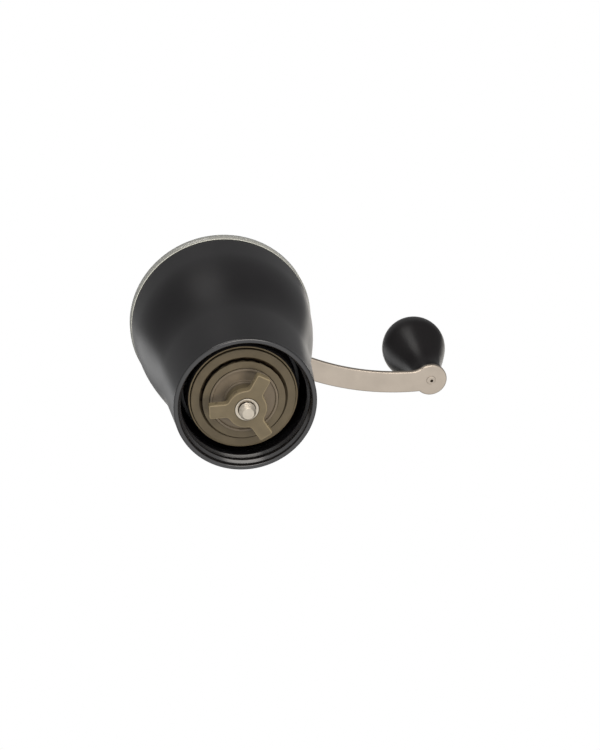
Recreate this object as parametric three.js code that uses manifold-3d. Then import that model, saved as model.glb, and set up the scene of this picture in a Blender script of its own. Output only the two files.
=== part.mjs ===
// Head of a hand coffee mill: bell-shaped hopper with clear lid, conical burr set with a
// three-wing adjusting knob, and a sickle-shaped crank with a bulb grip.
// Millimetres, +Z up. The origin is the centre of the neck's rim, where the head meets its jar,
// and the crank points along +X.
import * as THREE from "three";
import { mergeVertices } from "three/addons/utils/BufferGeometryUtils.js";
import Module from "manifold-3d";

const wasm = await Module();
wasm.setup();

// Clearances
const SEAT_GAP = 0.3; // between faces that rest on each other
const RUN_GAP = 0.06; // radial, between a shaft and the bore it turns in
const FIT_GAP = 0.15; // radial, between pieces that are pressed or keyed together
const OVERLAP = 1; // how far joined solids run into each other, and cutters run past a face

// Hopper shell
const BODY_HEIGHT = 98.4; // neck rim to the edge of the mouth
const NECK_RADIUS = 33.2;
const NECK_BORE_RADIUS = 31;
const NECK_BORE_DEPTH = 18; // straight stretch that takes the jar's mouth
const RIM_ROUND = 1;
const FLARE = 8.1; // steady widening from neck to mouth
const SWELL = 4.5; // extra widening at the shoulder
const SWELL_FROM = 32;
const SWELL_TO = 82.4;
const BODY_WALL = 2.4;
const SHOULDER_WIDTH = 1.6; // of the step inside the shell that carries the floor

// Burr set
const BURR_GAP = 0.55; // between the two burrs in the grinding zone
const INNER_BURR_Z = 6.4;
const INNER_BURR_HEIGHT = 19.7;
const INNER_BURR_RADIUS = 19.35;
const INNER_BURR_TOP_RADIUS = 11.4;
const OUTER_BURR_Z = 8.35;
const OUTER_BURR_HEIGHT = 20.4;
const OUTER_BURR_RADIUS = 24.6;
const OUTER_BURR_CHAMFER = 0.6;
const FEED_GAP = 2; // between the burrs where the beans are broken
const FEED_MOUTH = 3; // rim left on top of the outer burr
const BURR_TEETH = 24;
const BURR_FLUTES = 6;
const TOOTH_DEPTH = 0.7;
const FLUTE_DEPTH = 2.1;
const BURR_TWIST = 2; // teeth that the helix runs on from bottom to top

// Burr housing, the cup that holds the outer burr under the hopper
const HOUSING_WALL = 1.4;
const HOUSING_SETBACK = 1.2; // its lower edge stands this far above the outer burr's
const HOUSING_ROOF = 1.6;
const COLLAR_WALL = 2;
const COLLAR_DEPTH = 9.5; // how far the floor's collar hangs round the housing

// Hopper floor
const THROAT_RADIUS = 21.5;
const THROAT_LIP = 2.4;
const BEARING_LEDGE_RADIUS = 30.6;
const BEARING_LEDGE_WIDTH = 3.4;
const FUNNEL_SLOPE = 1.4; // rise over run
const LEDGE_WALL = 3.8; // height of the wall round the ledge
const LEDGE_WALL_THICKNESS = 1.4;
const FLOOR_THICKNESS = 2.8;
const FLOOR_FLANGE = 2.8; // height of the edge that stands on the shell's shoulder

// Burr carrier
const CARRIER_RADIUS = 15.9;
const CARRIER_LIP = 1;
const CARRIER_LIP_DEPTH = 0.9;
const CARRIER_DISH = 0.4; // fall of the cup's face from its boss to its lip
const CARRIER_LIP_DRAFT = 0.3;
const CARRIER_DROP = 0.7; // its lower face stands out this far below the inner burr
const CARRIER_THICKNESS = 3.6;
const CARRIER_BOSS_RADIUS = 9.8;
const CARRIER_BOSS_DROP = 0.6;
const CARRIER_HUB_RADIUS = 9;
const CARRIER_NECK_RADIUS = 7;
const RETAINER_HEIGHT = 1.2;
const RETAINER_RADIUS = 10.8;

// Adjusting knob
const KNOB_FACE_Z = -4;
const KNOB_PLATE = 4.2;
const KNOB_HUB_RADIUS = 9.3;
const KNOB_WINGS = 3;
const WING_TIP_RADIUS = 17.4;
const WING_WIDTH = 6.8;
const WING_ROOT_ROUND = 2.4;
const WING_TIP_ROUND = 0.7;
const WING_PHASE = THREE.MathUtils.degToRad(36.8);
const KNOB_CHAMFER = 0.35;
const INSERT_RADIUS = 5.5;
const INSERT_CHAMFER = 0.4;
const INSERT_PROUD = 0.25;
const CLICK_RIBS = 9;
const CLICK_RIB_HEIGHT = 0.5;
const CLICK_RIB_WIDTH = 0.8;
const CLICK_RIB_INSET = 0.5; // from the hub's edge and from the insert

// Drive shaft
const SHAFT_END_Z = -8.8;
const THREAD_RADIUS = 3.9;
const SHAFT_RADIUS = 4;
const SHAFT_CHAMFER = 0.9;
const FLATS_APART = 6.6;
const COLLAR_RADIUS = 6.5;
const SHAFT_COLLAR_HEIGHT = 2;
const CLIP_GROOVE_DEPTH = 0.6;
const CLIP_THICKNESS = 0.9;
const CLIP_RADIUS = 6.3;
const WASHER_THICKNESS = 0.7;
const WASHER_RADIUS = 7.2;
const BUSH_WALL = 1.1;
const BUSH_FLANGE = 0.9;
const BEARING_HUB_RADIUS = 7.8;
const BEARING_HUB_HEIGHT = 10;
const BEARING_RING_HEIGHT = 3;
const BEARING_ARMS = 3;
const BEARING_ARM_WIDTH = 4;
const BEARING_ARM_HEIGHT = 8; // where it leaves the hub

// Burr spring
const SPRING_WIRE = 1.1;
const SPRING_RADIUS = 6;
const SPRING_TURNS = 4;
const SPRING_LENGTH = 8.4;
const SPRING_STEPS = 8;
const SPRING_SIDES = 5;

// Clear lid
const LID_RADIUS = 46.5;
const LID_BAND = 5.2; // the band that shows above the hopper's edge
const LID_WALL = 2;
const LID_OVERHANG_RISE = 1.2;
const LID_EDGE_ROUND = 0.9;
const LID_RISE = 2; // of the middle above the edge
const LID_BEND = [0.4, 0.75]; // share of the way in, and of the rise, where the middle levels off
const LID_SPIGOT_DEPTH = 5;
const LID_SPIGOT_GAP = 0.4;
const LID_HOLE_RADIUS = 6.2;
const GROMMET_RADIUS = 8.2;
const GROMMET_LIP = 0.9;
const GROMMET_CHAMFER = 0.4;

// Crank
const CRANK_LENGTH = 122.7; // shaft to grip axis
const CRANK_BOW = 14.2; // sagitta of the strap's centre line
const STRAP_WIDTH = 12;
const STRAP_THICKNESS = 2.8;
const STRAP_ROUND = 0.45;
const CRANK_HUB_RADIUS = 9.6;
const CRANK_EYE_RADIUS = 8.8;
const CRANK_FILLET = 9;
const CRANK_RISE = 11.6; // of the strap's underside above the hopper's edge
const SQUARE = 6; // drive square on the shaft's top, its corners turned down to the shaft
const STUD_RADIUS = 2.9;
const STUD_HEIGHT = 7.4;
const STUD_CHAMFER = 0.6;
const NUT_ACROSS_FLATS = 10;
const NUT_HEX_HEIGHT = 5;
const NUT_DOME_RADIUS = 4.7;

// Grip
const GRIP_BALL_RADIUS = 17.6;
const GRIP_BALL_RISE = 44; // ball centre above the strap's underside
const GRIP_FOOT_ROUND = 0.5;
const GRIP_TAPER = THREE.MathUtils.degToRad(17.4); // of the neck cone that meets the ball
const RIVET_RADIUS = 2.3;
const RIVET_PROUD = 0.25;
const RIVET_DIMPLE = 0.5;
const GRIP_WASHER_RADIUS = 5.2;
const AXLE_RADIUS = 3;
const AXLE_HEAD_RADIUS = 4.8;
const AXLE_HEAD_HEIGHT = 1.8;
const AXLE_RISE = 38; // shoulder to the underside of its head
const GRIP_BUSH_WALL = 1;
const GRIP_CAP_RADIUS = 6;
const GRIP_CAP_DEPTH = 6;

// Round pieces are drawn with this many sides
const LARGE_SIDES = 48;
const MEDIUM_SIDES = 36;
const SMALL_SIDES = 20;
const TOOTH_SIDES = 3;

// Each arc of a cut outline is drawn in this many steps
const KNOB_ARC_STEPS = 3;
const CRANK_ARC_STEPS = 7;
const CLIP_ARC_STEPS = 14;

const smoothstep = (t) => {
  const u = Math.min(Math.max(t, 0), 1);
  return u * u * (3 - 2 * u);
};
const lerp = THREE.MathUtils.lerp;

// Derived places
const HOUSING_Z = OUTER_BURR_Z + HOUSING_SETBACK;
const HOUSING_BORE = OUTER_BURR_RADIUS + SEAT_GAP;
const HOUSING_RADIUS = HOUSING_BORE + HOUSING_WALL;
const OUTER_BURR_TOP = OUTER_BURR_Z + OUTER_BURR_HEIGHT;
const HOUSING_TOP = OUTER_BURR_TOP + SEAT_GAP + HOUSING_ROOF;
const FLOOR_Z = HOUSING_TOP + SEAT_GAP;
const COLLAR_BORE = HOUSING_RADIUS + SEAT_GAP;
const FLOOR_COLLAR_RADIUS = COLLAR_BORE + COLLAR_WALL;
const COLLAR_Z = FLOOR_Z - COLLAR_DEPTH;
const LEDGE_INNER = BEARING_LEDGE_RADIUS - BEARING_LEDGE_WIDTH;
const LEDGE_Z = FLOOR_Z + THROAT_LIP + FUNNEL_SLOPE * (LEDGE_INNER - THROAT_RADIUS);
const SHOULDER_Z = LEDGE_Z + LEDGE_WALL - SEAT_GAP;
const CARRIER_Z = INNER_BURR_Z - CARRIER_DROP;
const CARRIER_TOP = CARRIER_Z + CARRIER_THICKNESS;
const CARRIER_BOSS_Z = CARRIER_Z - CARRIER_BOSS_DROP;
const INNER_BURR_TOP = INNER_BURR_Z + INNER_BURR_HEIGHT;
const RETAINER_Z = INNER_BURR_TOP + SEAT_GAP;
const CARRIER_NECK_TOP = RETAINER_Z + RETAINER_HEIGHT + SEAT_GAP;
const KNOB_PLATE_TOP = KNOB_FACE_Z + KNOB_PLATE;
const LOWER_WASHER_Z = CARRIER_NECK_TOP + SEAT_GAP;
const SPRING_Z = LOWER_WASHER_Z + WASHER_THICKNESS + SEAT_GAP;
const UPPER_WASHER_Z = SPRING_Z + SPRING_LENGTH + SEAT_GAP;
const SHAFT_COLLAR_Z = UPPER_WASHER_Z + WASHER_THICKNESS + SEAT_GAP;
const THRUST_WASHER_Z = SHAFT_COLLAR_Z + SHAFT_COLLAR_HEIGHT + SEAT_GAP;
const BUSH_Z = THRUST_WASHER_Z + WASHER_THICKNESS + SEAT_GAP;
const BUSH_BORE = SHAFT_RADIUS + RUN_GAP;
const BUSH_RADIUS = BUSH_BORE + BUSH_WALL;
const BEARING_Z = BUSH_Z + BUSH_FLANGE + SEAT_GAP;
const BEARING_TOP = BEARING_Z + BEARING_HUB_HEIGHT;
const CLIP_WASHER_Z = BEARING_TOP + SEAT_GAP;
const CLIP_Z = CLIP_WASHER_Z + WASHER_THICKNESS + SEAT_GAP;
const CRANK_Z = BODY_HEIGHT + CRANK_RISE;
const CRANK_TOP = CRANK_Z + STRAP_THICKNESS;
const SQUARE_TOP = CRANK_TOP + SEAT_GAP;
const CRANK_WASHER_Z = CRANK_TOP + SEAT_GAP;
const NUT_Z = CRANK_WASHER_Z + WASHER_THICKNESS + SEAT_GAP;
const STUD_TOP = NUT_Z + STUD_HEIGHT;
const LID_Z = BODY_HEIGHT + SEAT_GAP;
const LID_EDGE_TOP = BODY_HEIGHT + LID_BAND;
const LID_MIDDLE_TOP = LID_EDGE_TOP + LID_RISE;
const GRIP_WASHER_Z = CRANK_TOP + SEAT_GAP;
const GRIP_Z = GRIP_WASHER_Z + WASHER_THICKNESS + SEAT_GAP;
const GRIP_BALL_Z = CRANK_Z + GRIP_BALL_RISE;
const AXLE_SHOULDER_Z = CRANK_TOP + RUN_GAP;
const AXLE_HEAD_Z = AXLE_SHOULDER_Z + AXLE_RISE;
const GRIP_BUSH_BORE = AXLE_RADIUS + RUN_GAP;
const GRIP_BUSH_RADIUS = GRIP_BUSH_BORE + GRIP_BUSH_WALL;
const GRIP_BUSH_TOP = AXLE_HEAD_Z - SEAT_GAP;

// Outer radius of the hopper at a height above its neck rim
function bellRadius(height) {
  const flare = (FLARE * height) / BODY_HEIGHT;
  const swell = SWELL * smoothstep((height - SWELL_FROM) / (SWELL_TO - SWELL_FROM));
  return NECK_RADIUS + flare + swell;
}
const wallRadius = (height) => bellRadius(height) - BODY_WALL;
const SHOULDER_RADIUS = wallRadius(SHOULDER_Z) - SHOULDER_WIDTH;

// Solids and meshes
function solidOf(geometry) {
  const bare = geometry.index ? geometry.toNonIndexed() : geometry.clone();
  bare.deleteAttribute("normal");
  bare.deleteAttribute("uv");
  const merged = mergeVertices(bare, 1e-4);
  return new wasm.Manifold(
    new wasm.Mesh({
      numProp: 3,
      vertProperties: merged.attributes.position.array,
      triVerts: new Uint32Array(merged.index.array),
    }),
  );
}

function geometryOf(solid) {
  const { vertProperties, triVerts } = solid.getMesh();
  const geometry = new THREE.BufferGeometry();
  geometry.setAttribute("position", new THREE.BufferAttribute(vertProperties, 3));
  geometry.setIndex(new THREE.BufferAttribute(triVerts, 1));
  geometry.computeVertexNormals();
  return geometry;
}

const join = (...parts) => geometryOf(parts.map(solidOf).reduce((a, b) => a.add(b)));
const cut = (body, ...tools) =>
  geometryOf(tools.map(solidOf).reduce((a, b) => a.subtract(b), solidOf(body)));

// A piece turned about the Z axis. The profile is a list of [radius, height]; it closes on
// itself unless both its ends lie on the axis.
function turned(profile, sides) {
  const points = profile.map(([r, z]) => new THREE.Vector2(r, z));
  if (THREE.ShapeUtils.area(points) < 0) points.reverse();
  const first = points[0];
  const last = points[points.length - 1];
  if (first.x > 0 || last.x > 0) points.push(first.clone());
  return new THREE.LatheGeometry(points, sides).rotateX(Math.PI / 2);
}

const tube = (inner, outer, low, high, sides) =>
  turned([[inner, low], [outer, low], [outer, high], [inner, high]], sides);

const rod = (radius, low, high, sides) =>
  turned([[0, low], [radius, low], [radius, high], [0, high]], sides);

function block(width, depth, low, high) {
  return new THREE.BoxGeometry(width, depth, high - low).translate(0, 0, (low + high) / 2);
}

// The corners of an outline, without the doubled points where two arcs join
function corners(path, divisions) {
  const points = path.getPoints(divisions);
  return points.filter((p, i) => p.distanceTo(points[(i + 1) % points.length]) > 1e-3);
}

// A flat piece cut to an outline, with its edges broken by a small chamfer. Its holes run round
// the opposite way to the outline.
function plate(outline, low, high, chamfer, divisions) {
  const shape = new THREE.Shape(corners(outline, divisions));
  shape.holes = outline.holes.map((hole) => new THREE.Path(corners(hole, divisions)));
  const options = {
    depth: high - low - 2 * chamfer,
    bevelEnabled: chamfer > 0,
    bevelThickness: chamfer,
    bevelSize: chamfer,
    bevelOffset: -chamfer,
    bevelSegments: 1,
  };
  return new THREE.ExtrudeGeometry(shape, options).translate(0, 0, low + chamfer);
}

// A round solid whose radius varies round the axis. Each ring is { z, r(turn), shift }: turn runs
// from 0 to 1, and shift turns the ring by a number of steps, so that teeth run in a helix. The
// rings close on themselves.
function fluted(rings, steps) {
  const positions = [];
  const index = [];
  for (const { z, r, shift } of rings) {
    for (let i = 0; i < steps; i++) {
      const radius = r(i / steps);
      const angle = (2 * Math.PI * (i + shift)) / steps;
      positions.push(radius * Math.cos(angle), radius * Math.sin(angle), z);
    }
  }
  rings.forEach(({ z, shift }, k) => {
    const next = rings[(k + 1) % rings.length];
    const level = next.z === z;
    const skip = level ? shift - next.shift : 0;
    const a = k * steps;
    const b = ((k + 1) % rings.length) * steps;
    for (let i = 0; i < steps; i++) {
      const j = (i + 1) % steps;
      const near = b + ((i + skip + steps) % steps);
      const far = b + ((j + skip + steps) % steps);
      index.push(a + i, a + j, far);
      index.push(a + i, far, near);
    }
  });
  const geometry = new THREE.BufferGeometry();
  geometry.setAttribute("position", new THREE.Float32BufferAttribute(positions, 3));
  geometry.setIndex(index);
  geometry.computeVertexNormals();
  return geometry;
}

// Saw-tooth wave from 0 on the tooth's land to 1 at its root, which lies past its middle
function sawTooth(turn, count) {
  const t = (turn * count) % 1;
  const root = 2 / 3;
  return t < root ? Math.max(0, 2 * (t / root) - 1) : (1 - t) / (1 - root);
}

// Hopper shell: bell with the jar's neck below and a shoulder inside that carries the floor
function hopperShell() {
  const profile = [[NECK_BORE_RADIUS, 0]];
  const roundSteps = 2;
  for (let i = 0; i <= roundSteps; i++) {
    const a = (i / roundSteps) * (Math.PI / 2);
    const inset = RIM_ROUND * (1 - Math.sin(a));
    profile.push([bellRadius(RIM_ROUND) - inset, RIM_ROUND * (1 - Math.cos(a))]);
  }
  const outerSteps = 10;
  for (let i = 1; i <= outerSteps; i++) {
    const height = lerp(RIM_ROUND, BODY_HEIGHT, i / outerSteps);
    profile.push([bellRadius(height), height]);
  }
  const innerSteps = 5;
  for (let i = 0; i <= innerSteps; i++) {
    const height = lerp(BODY_HEIGHT, SHOULDER_Z, i / innerSteps);
    profile.push([wallRadius(height), height]);
  }
  profile.push([SHOULDER_RADIUS, SHOULDER_Z]);
  profile.push([NECK_BORE_RADIUS, NECK_BORE_DEPTH]);
  return turned(profile, LARGE_SIDES);
}

// Hopper floor: funnel with the throat, a ledge for the shaft support and a collar for the housing
function hopperFloor() {
  const rim = wallRadius(SHOULDER_Z) - SEAT_GAP;
  const rimZ = SHOULDER_Z + SEAT_GAP;
  const underLedge = LEDGE_Z - FLOOR_THICKNESS;
  return turned(
    [
      [rim, rimZ],
      [rim, rimZ + FLOOR_FLANGE],
      [BEARING_LEDGE_RADIUS, rimZ],
      [BEARING_LEDGE_RADIUS, LEDGE_Z],
      [LEDGE_INNER, LEDGE_Z],
      [THROAT_RADIUS, FLOOR_Z + THROAT_LIP],
      [THROAT_RADIUS, FLOOR_Z],
      [COLLAR_BORE, FLOOR_Z],
      [COLLAR_BORE, COLLAR_Z],
      [FLOOR_COLLAR_RADIUS, COLLAR_Z],
      [FLOOR_COLLAR_RADIUS, underLedge - LEDGE_WALL],
      [BEARING_LEDGE_RADIUS + LEDGE_WALL_THICKNESS, underLedge],
      [SHOULDER_RADIUS - SEAT_GAP, rimZ],
    ],
    LARGE_SIDES,
  );
}

// Burr housing: cup that carries the outer burr inside the floor's collar
function burrHousing() {
  const chamfer = HOUSING_WALL / 3;
  return turned(
    [
      [HOUSING_BORE, HOUSING_Z],
      [HOUSING_RADIUS - chamfer, HOUSING_Z],
      [HOUSING_RADIUS, HOUSING_Z + chamfer],
      [HOUSING_RADIUS, HOUSING_TOP],
      [THROAT_RADIUS, HOUSING_TOP],
      [THROAT_RADIUS, OUTER_BURR_TOP + SEAT_GAP],
      [HOUSING_BORE, OUTER_BURR_TOP + SEAT_GAP],
    ],
    LARGE_SIDES,
  );
}

// The inner burr's cone, as [share of its height, radius over the teeth]
const INNER_BURR_LINE = [
  [0, INNER_BURR_RADIUS],
  [0.04, INNER_BURR_RADIUS],
  [0.2, lerp(INNER_BURR_RADIUS, INNER_BURR_TOP_RADIUS, 0.09)],
  [0.46, lerp(INNER_BURR_RADIUS, INNER_BURR_TOP_RADIUS, 0.32)],
  [0.75, lerp(INNER_BURR_RADIUS, INNER_BURR_TOP_RADIUS, 0.66)],
  [1, INNER_BURR_TOP_RADIUS],
];

function innerBurrRadius(z) {
  const share = (z - INNER_BURR_Z) / INNER_BURR_HEIGHT;
  const above = Math.max(1, INNER_BURR_LINE.findIndex(([t]) => t > share));
  const [t0, r0] = INNER_BURR_LINE[above - 1];
  const [t1, r1] = INNER_BURR_LINE[above];
  return lerp(r0, r1, (share - t0) / (t1 - t0));
}

// Outer burr: ring with helical teeth and feed flutes inside
function outerBurr() {
  const beside = (t, gap) => innerBurrRadius(OUTER_BURR_Z + t * OUTER_BURR_HEIGHT) + gap;
  const rows = [
    { t: 0, r: beside(0, BURR_GAP + OUTER_BURR_CHAMFER), tooth: TOOTH_DEPTH, flute: 0 },
    { t: 0.05, r: beside(0.05, BURR_GAP), tooth: TOOTH_DEPTH, flute: 0 },
    { t: 0.2, r: beside(0.2, BURR_GAP), tooth: TOOTH_DEPTH, flute: 0 },
    { t: 0.42, r: beside(0.42, FEED_GAP), tooth: TOOTH_DEPTH / 2, flute: FLUTE_DEPTH / 2 },
    { t: 0.7, r: beside(0.42, FEED_GAP), tooth: 0, flute: FLUTE_DEPTH },
    { t: 1, r: OUTER_BURR_RADIUS - FEED_MOUTH, tooth: 0, flute: FLUTE_DEPTH / 2 },
  ];
  const bore = rows.map(({ t, r, tooth, flute }) => ({
    z: OUTER_BURR_Z + t * OUTER_BURR_HEIGHT,
    r: (turn) => r + tooth * sawTooth(turn, BURR_TEETH) + flute * sawTooth(turn, BURR_FLUTES),
    shift: -BURR_TWIST * TOOTH_SIDES * t,
  }));
  const chamfer = OUTER_BURR_CHAMFER;
  const outside = [
    { z: OUTER_BURR_Z, r: () => OUTER_BURR_RADIUS - chamfer, shift: 0 },
    { z: OUTER_BURR_Z + chamfer, r: () => OUTER_BURR_RADIUS, shift: 0 },
    { z: OUTER_BURR_TOP - chamfer, r: () => OUTER_BURR_RADIUS, shift: 0 },
    { z: OUTER_BURR_TOP, r: () => OUTER_BURR_RADIUS - chamfer, shift: 0 },
  ];
  return fluted([...outside, ...bore.reverse()], BURR_TEETH * TOOTH_SIDES);
}

// Inner burr: cone with fine teeth at its foot and feed flutes above, hollow for its carrier
function innerBurr() {
  const recess = CARRIER_RADIUS + SEAT_GAP;
  const bore = CARRIER_HUB_RADIUS + SEAT_GAP;
  const recessTop = CARRIER_TOP + SEAT_GAP;
  const teeth = [0, 1, 1, 0.5, 0, 0];
  const flutes = [0, 0, 0, 0.5, 1, 0.4];
  const rings = INNER_BURR_LINE.map(([t, radius], row) => {
    const tooth = teeth[row] * TOOTH_DEPTH;
    const flute = flutes[row] * FLUTE_DEPTH;
    return {
      z: INNER_BURR_Z + t * INNER_BURR_HEIGHT,
      r: (turn) => radius - tooth * sawTooth(turn, BURR_TEETH) - flute * sawTooth(turn, BURR_FLUTES),
      shift: BURR_TWIST * TOOTH_SIDES * t,
    };
  });
  rings.push({ z: INNER_BURR_TOP, r: () => bore, shift: 0 });
  rings.push({ z: recessTop, r: () => bore, shift: 0 });
  rings.push({ z: recessTop, r: () => recess, shift: 0 });
  rings.push({ z: INNER_BURR_Z, r: () => recess, shift: 0 });
  return fluted(rings, BURR_TEETH * TOOTH_SIDES);
}

// The shaft's threaded end has two flats; whatever is keyed to it has the same hole with a gap
function keyedBar(gap, low, high) {
  const round = solidOf(rod(THREAD_RADIUS + gap, low, high, SMALL_SIDES));
  const flats = solidOf(block(FLATS_APART + 2 * gap, 4 * THREAD_RADIUS, low, high));
  return geometryOf(round.intersect(flats));
}

// Burr carrier: cupped disc and keyed hub that slide on the shaft and turn the inner burr
function burrCarrier() {
  const cup = CARRIER_Z + CARRIER_LIP_DEPTH;
  const lipInner = CARRIER_RADIUS - CARRIER_LIP;
  const body = turned(
    [
      [0, CARRIER_BOSS_Z],
      [CARRIER_BOSS_RADIUS, CARRIER_BOSS_Z],
      [CARRIER_BOSS_RADIUS, cup + CARRIER_DISH],
      [lipInner - CARRIER_LIP_DRAFT, cup],
      [lipInner, CARRIER_Z],
      [CARRIER_RADIUS, CARRIER_Z],
      [CARRIER_RADIUS, CARRIER_TOP],
      [CARRIER_HUB_RADIUS, CARRIER_TOP],
      [CARRIER_HUB_RADIUS, INNER_BURR_TOP],
      [CARRIER_NECK_RADIUS, INNER_BURR_TOP],
      [CARRIER_NECK_RADIUS, CARRIER_NECK_TOP],
      [0, CARRIER_NECK_TOP],
    ],
    MEDIUM_SIDES,
  );
  const bore = keyedBar(RUN_GAP, CARRIER_BOSS_Z - OVERLAP, CARRIER_NECK_TOP + OVERLAP);
  return cut(body, bore);
}

// Outline of the adjusting knob: round hub with parallel-sided wings
function wingOutline() {
  const half = WING_WIDTH / 2;
  const hub = KNOB_HUB_RADIUS;
  const rootAngle = Math.asin((half + WING_ROOT_ROUND) / (hub + WING_ROOT_ROUND));
  const rootAlong = (hub + WING_ROOT_ROUND) * Math.cos(rootAngle);
  const tip = WING_TIP_RADIUS - WING_TIP_ROUND;
  const side = half - WING_TIP_ROUND;
  const rise = half + WING_ROOT_ROUND;
  const quarter = Math.PI / 2;
  const shape = new THREE.Shape();
  for (let k = 0; k < KNOB_WINGS; k++) {
    const axis = WING_PHASE + (2 * Math.PI * k) / KNOB_WINGS;
    const next = axis + (2 * Math.PI) / KNOB_WINGS;
    const arc = (along, across, radius, from, to, clockwise) => {
      const x = along * Math.cos(axis) - across * Math.sin(axis);
      const y = along * Math.sin(axis) + across * Math.cos(axis);
      shape.absarc(x, y, radius, axis + from, axis + to, clockwise);
    };
    arc(rootAlong, -rise, WING_ROOT_ROUND, Math.PI - rootAngle, quarter, true);
    arc(tip, -side, WING_TIP_ROUND, -quarter, 0, false);
    arc(tip, side, WING_TIP_ROUND, 0, quarter, false);
    arc(rootAlong, rise, WING_ROOT_ROUND, -quarter, rootAngle - Math.PI, true);
    shape.absarc(0, 0, hub, axis + rootAngle, next - rootAngle, false);
  }
  return shape;
}

// Adjusting knob: winged plate and rear hub, with click ribs on the face that meets the carrier
function adjustingKnob() {
  const hubTop = CARRIER_BOSS_Z - SEAT_GAP - CLICK_RIB_HEIGHT;
  const wings = plate(wingOutline(), KNOB_FACE_Z, KNOB_PLATE_TOP, KNOB_CHAMFER, KNOB_ARC_STEPS);
  const hub = rod(KNOB_HUB_RADIUS, KNOB_PLATE_TOP - OVERLAP, hubTop, MEDIUM_SIDES);
  const ribs = [];
  for (let k = 0; k < CLICK_RIBS; k++) {
    const length = KNOB_HUB_RADIUS - INSERT_RADIUS - 2 * CLICK_RIB_INSET;
    const rib = new THREE.BoxGeometry(length, CLICK_RIB_WIDTH, 2 * CLICK_RIB_HEIGHT);
    rib.translate((KNOB_HUB_RADIUS + INSERT_RADIUS) / 2, 0, hubTop);
    ribs.push(rib.rotateZ((2 * Math.PI * k) / CLICK_RIBS));
  }
  const boreTop = hubTop + OVERLAP;
  const bore = rod(INSERT_RADIUS + FIT_GAP, KNOB_FACE_Z - OVERLAP, boreTop, SMALL_SIDES);
  return cut(join(wings, hub, ...ribs), bore);
}

// Threaded metal sleeve moulded into the adjusting knob
function adjustingInsert() {
  const bore = THREAD_RADIUS + RUN_GAP;
  const low = KNOB_FACE_Z - INSERT_PROUD;
  const high = CARRIER_BOSS_Z - SEAT_GAP - CLICK_RIB_HEIGHT;
  return turned(
    [
      [bore + INSERT_CHAMFER, low],
      [INSERT_RADIUS, low],
      [INSERT_RADIUS, high],
      [bore, high],
      [bore, low + INSERT_CHAMFER],
    ],
    SMALL_SIDES,
  );
}

// Drive shaft: threaded and flatted below, collar, plain journal with clip groove, drive square, stud
function driveShaft() {
  const groove = SHAFT_RADIUS - CLIP_GROOVE_DEPTH;
  const grooveTop = CLIP_Z + CLIP_THICKNESS + SEAT_GAP / 2;
  const grooveBottom = CLIP_Z - SEAT_GAP / 2;
  const collarTop = SHAFT_COLLAR_Z + SHAFT_COLLAR_HEIGHT;
  const keyedTop = SHAFT_COLLAR_Z + OVERLAP;
  const lower = turned(
    [
      [0, SHAFT_END_Z],
      [THREAD_RADIUS - SHAFT_CHAMFER, SHAFT_END_Z],
      [THREAD_RADIUS, SHAFT_END_Z + SHAFT_CHAMFER],
      [THREAD_RADIUS, keyedTop],
      [0, keyedTop],
    ],
    SMALL_SIDES,
  );
  const flats = block(FLATS_APART, 4 * THREAD_RADIUS, SHAFT_END_Z, keyedTop);
  const keyed = geometryOf(solidOf(lower).intersect(solidOf(flats)));
  const upper = turned(
    [
      [0, SHAFT_COLLAR_Z],
      [COLLAR_RADIUS, SHAFT_COLLAR_Z],
      [COLLAR_RADIUS, collarTop],
      [SHAFT_RADIUS, collarTop],
      [SHAFT_RADIUS, grooveBottom],
      [groove, grooveBottom],
      [groove, grooveTop],
      [SHAFT_RADIUS, grooveTop],
      [SHAFT_RADIUS, CRANK_Z - SEAT_GAP],
      [STUD_RADIUS, CRANK_Z - SEAT_GAP],
      [STUD_RADIUS, STUD_TOP - STUD_CHAMFER],
      [STUD_RADIUS - STUD_CHAMFER, STUD_TOP],
      [0, STUD_TOP],
    ],
    SMALL_SIDES,
  );
  const squareFoot = CRANK_Z - OVERLAP;
  const shank = solidOf(rod(SHAFT_RADIUS, squareFoot, SQUARE_TOP, SMALL_SIDES));
  const square = solidOf(block(SQUARE, SQUARE, squareFoot, SQUARE_TOP)).intersect(shank);
  return join(keyed, upper, geometryOf(square));
}

// Shaft support: three-armed bridge that stands on the hopper's ledge
function shaftSupport() {
  const ringOuter = BEARING_LEDGE_RADIUS - SEAT_GAP;
  const ringInner = LEDGE_INNER + SEAT_GAP;
  const ringZ = LEDGE_Z + SEAT_GAP;
  const ring = tube(ringInner, ringOuter, ringZ, ringZ + BEARING_RING_HEIGHT, MEDIUM_SIDES);
  const hub = rod(BEARING_HUB_RADIUS, BEARING_Z, BEARING_TOP, SMALL_SIDES);
  const root = BUSH_RADIUS + OVERLAP;
  const end = ringInner + OVERLAP;
  const arms = [];
  for (let k = 0; k < BEARING_ARMS; k++) {
    const side = new THREE.Shape([
      new THREE.Vector2(root, BEARING_Z),
      new THREE.Vector2(end, ringZ),
      new THREE.Vector2(end, ringZ + BEARING_RING_HEIGHT),
      new THREE.Vector2(root, BEARING_Z + BEARING_ARM_HEIGHT),
    ]);
    const arm = new THREE.ExtrudeGeometry(side, { depth: BEARING_ARM_WIDTH, bevelEnabled: false });
    arm.translate(0, 0, -BEARING_ARM_WIDTH / 2).rotateX(Math.PI / 2);
    arms.push(arm.rotateZ((2 * Math.PI * (k + 0.5)) / BEARING_ARMS));
  }
  const boreRadius = BUSH_RADIUS + FIT_GAP;
  const bore = rod(boreRadius, BEARING_Z - OVERLAP, BEARING_TOP + OVERLAP, SMALL_SIDES);
  return cut(join(ring, hub, ...arms), bore);
}

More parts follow.
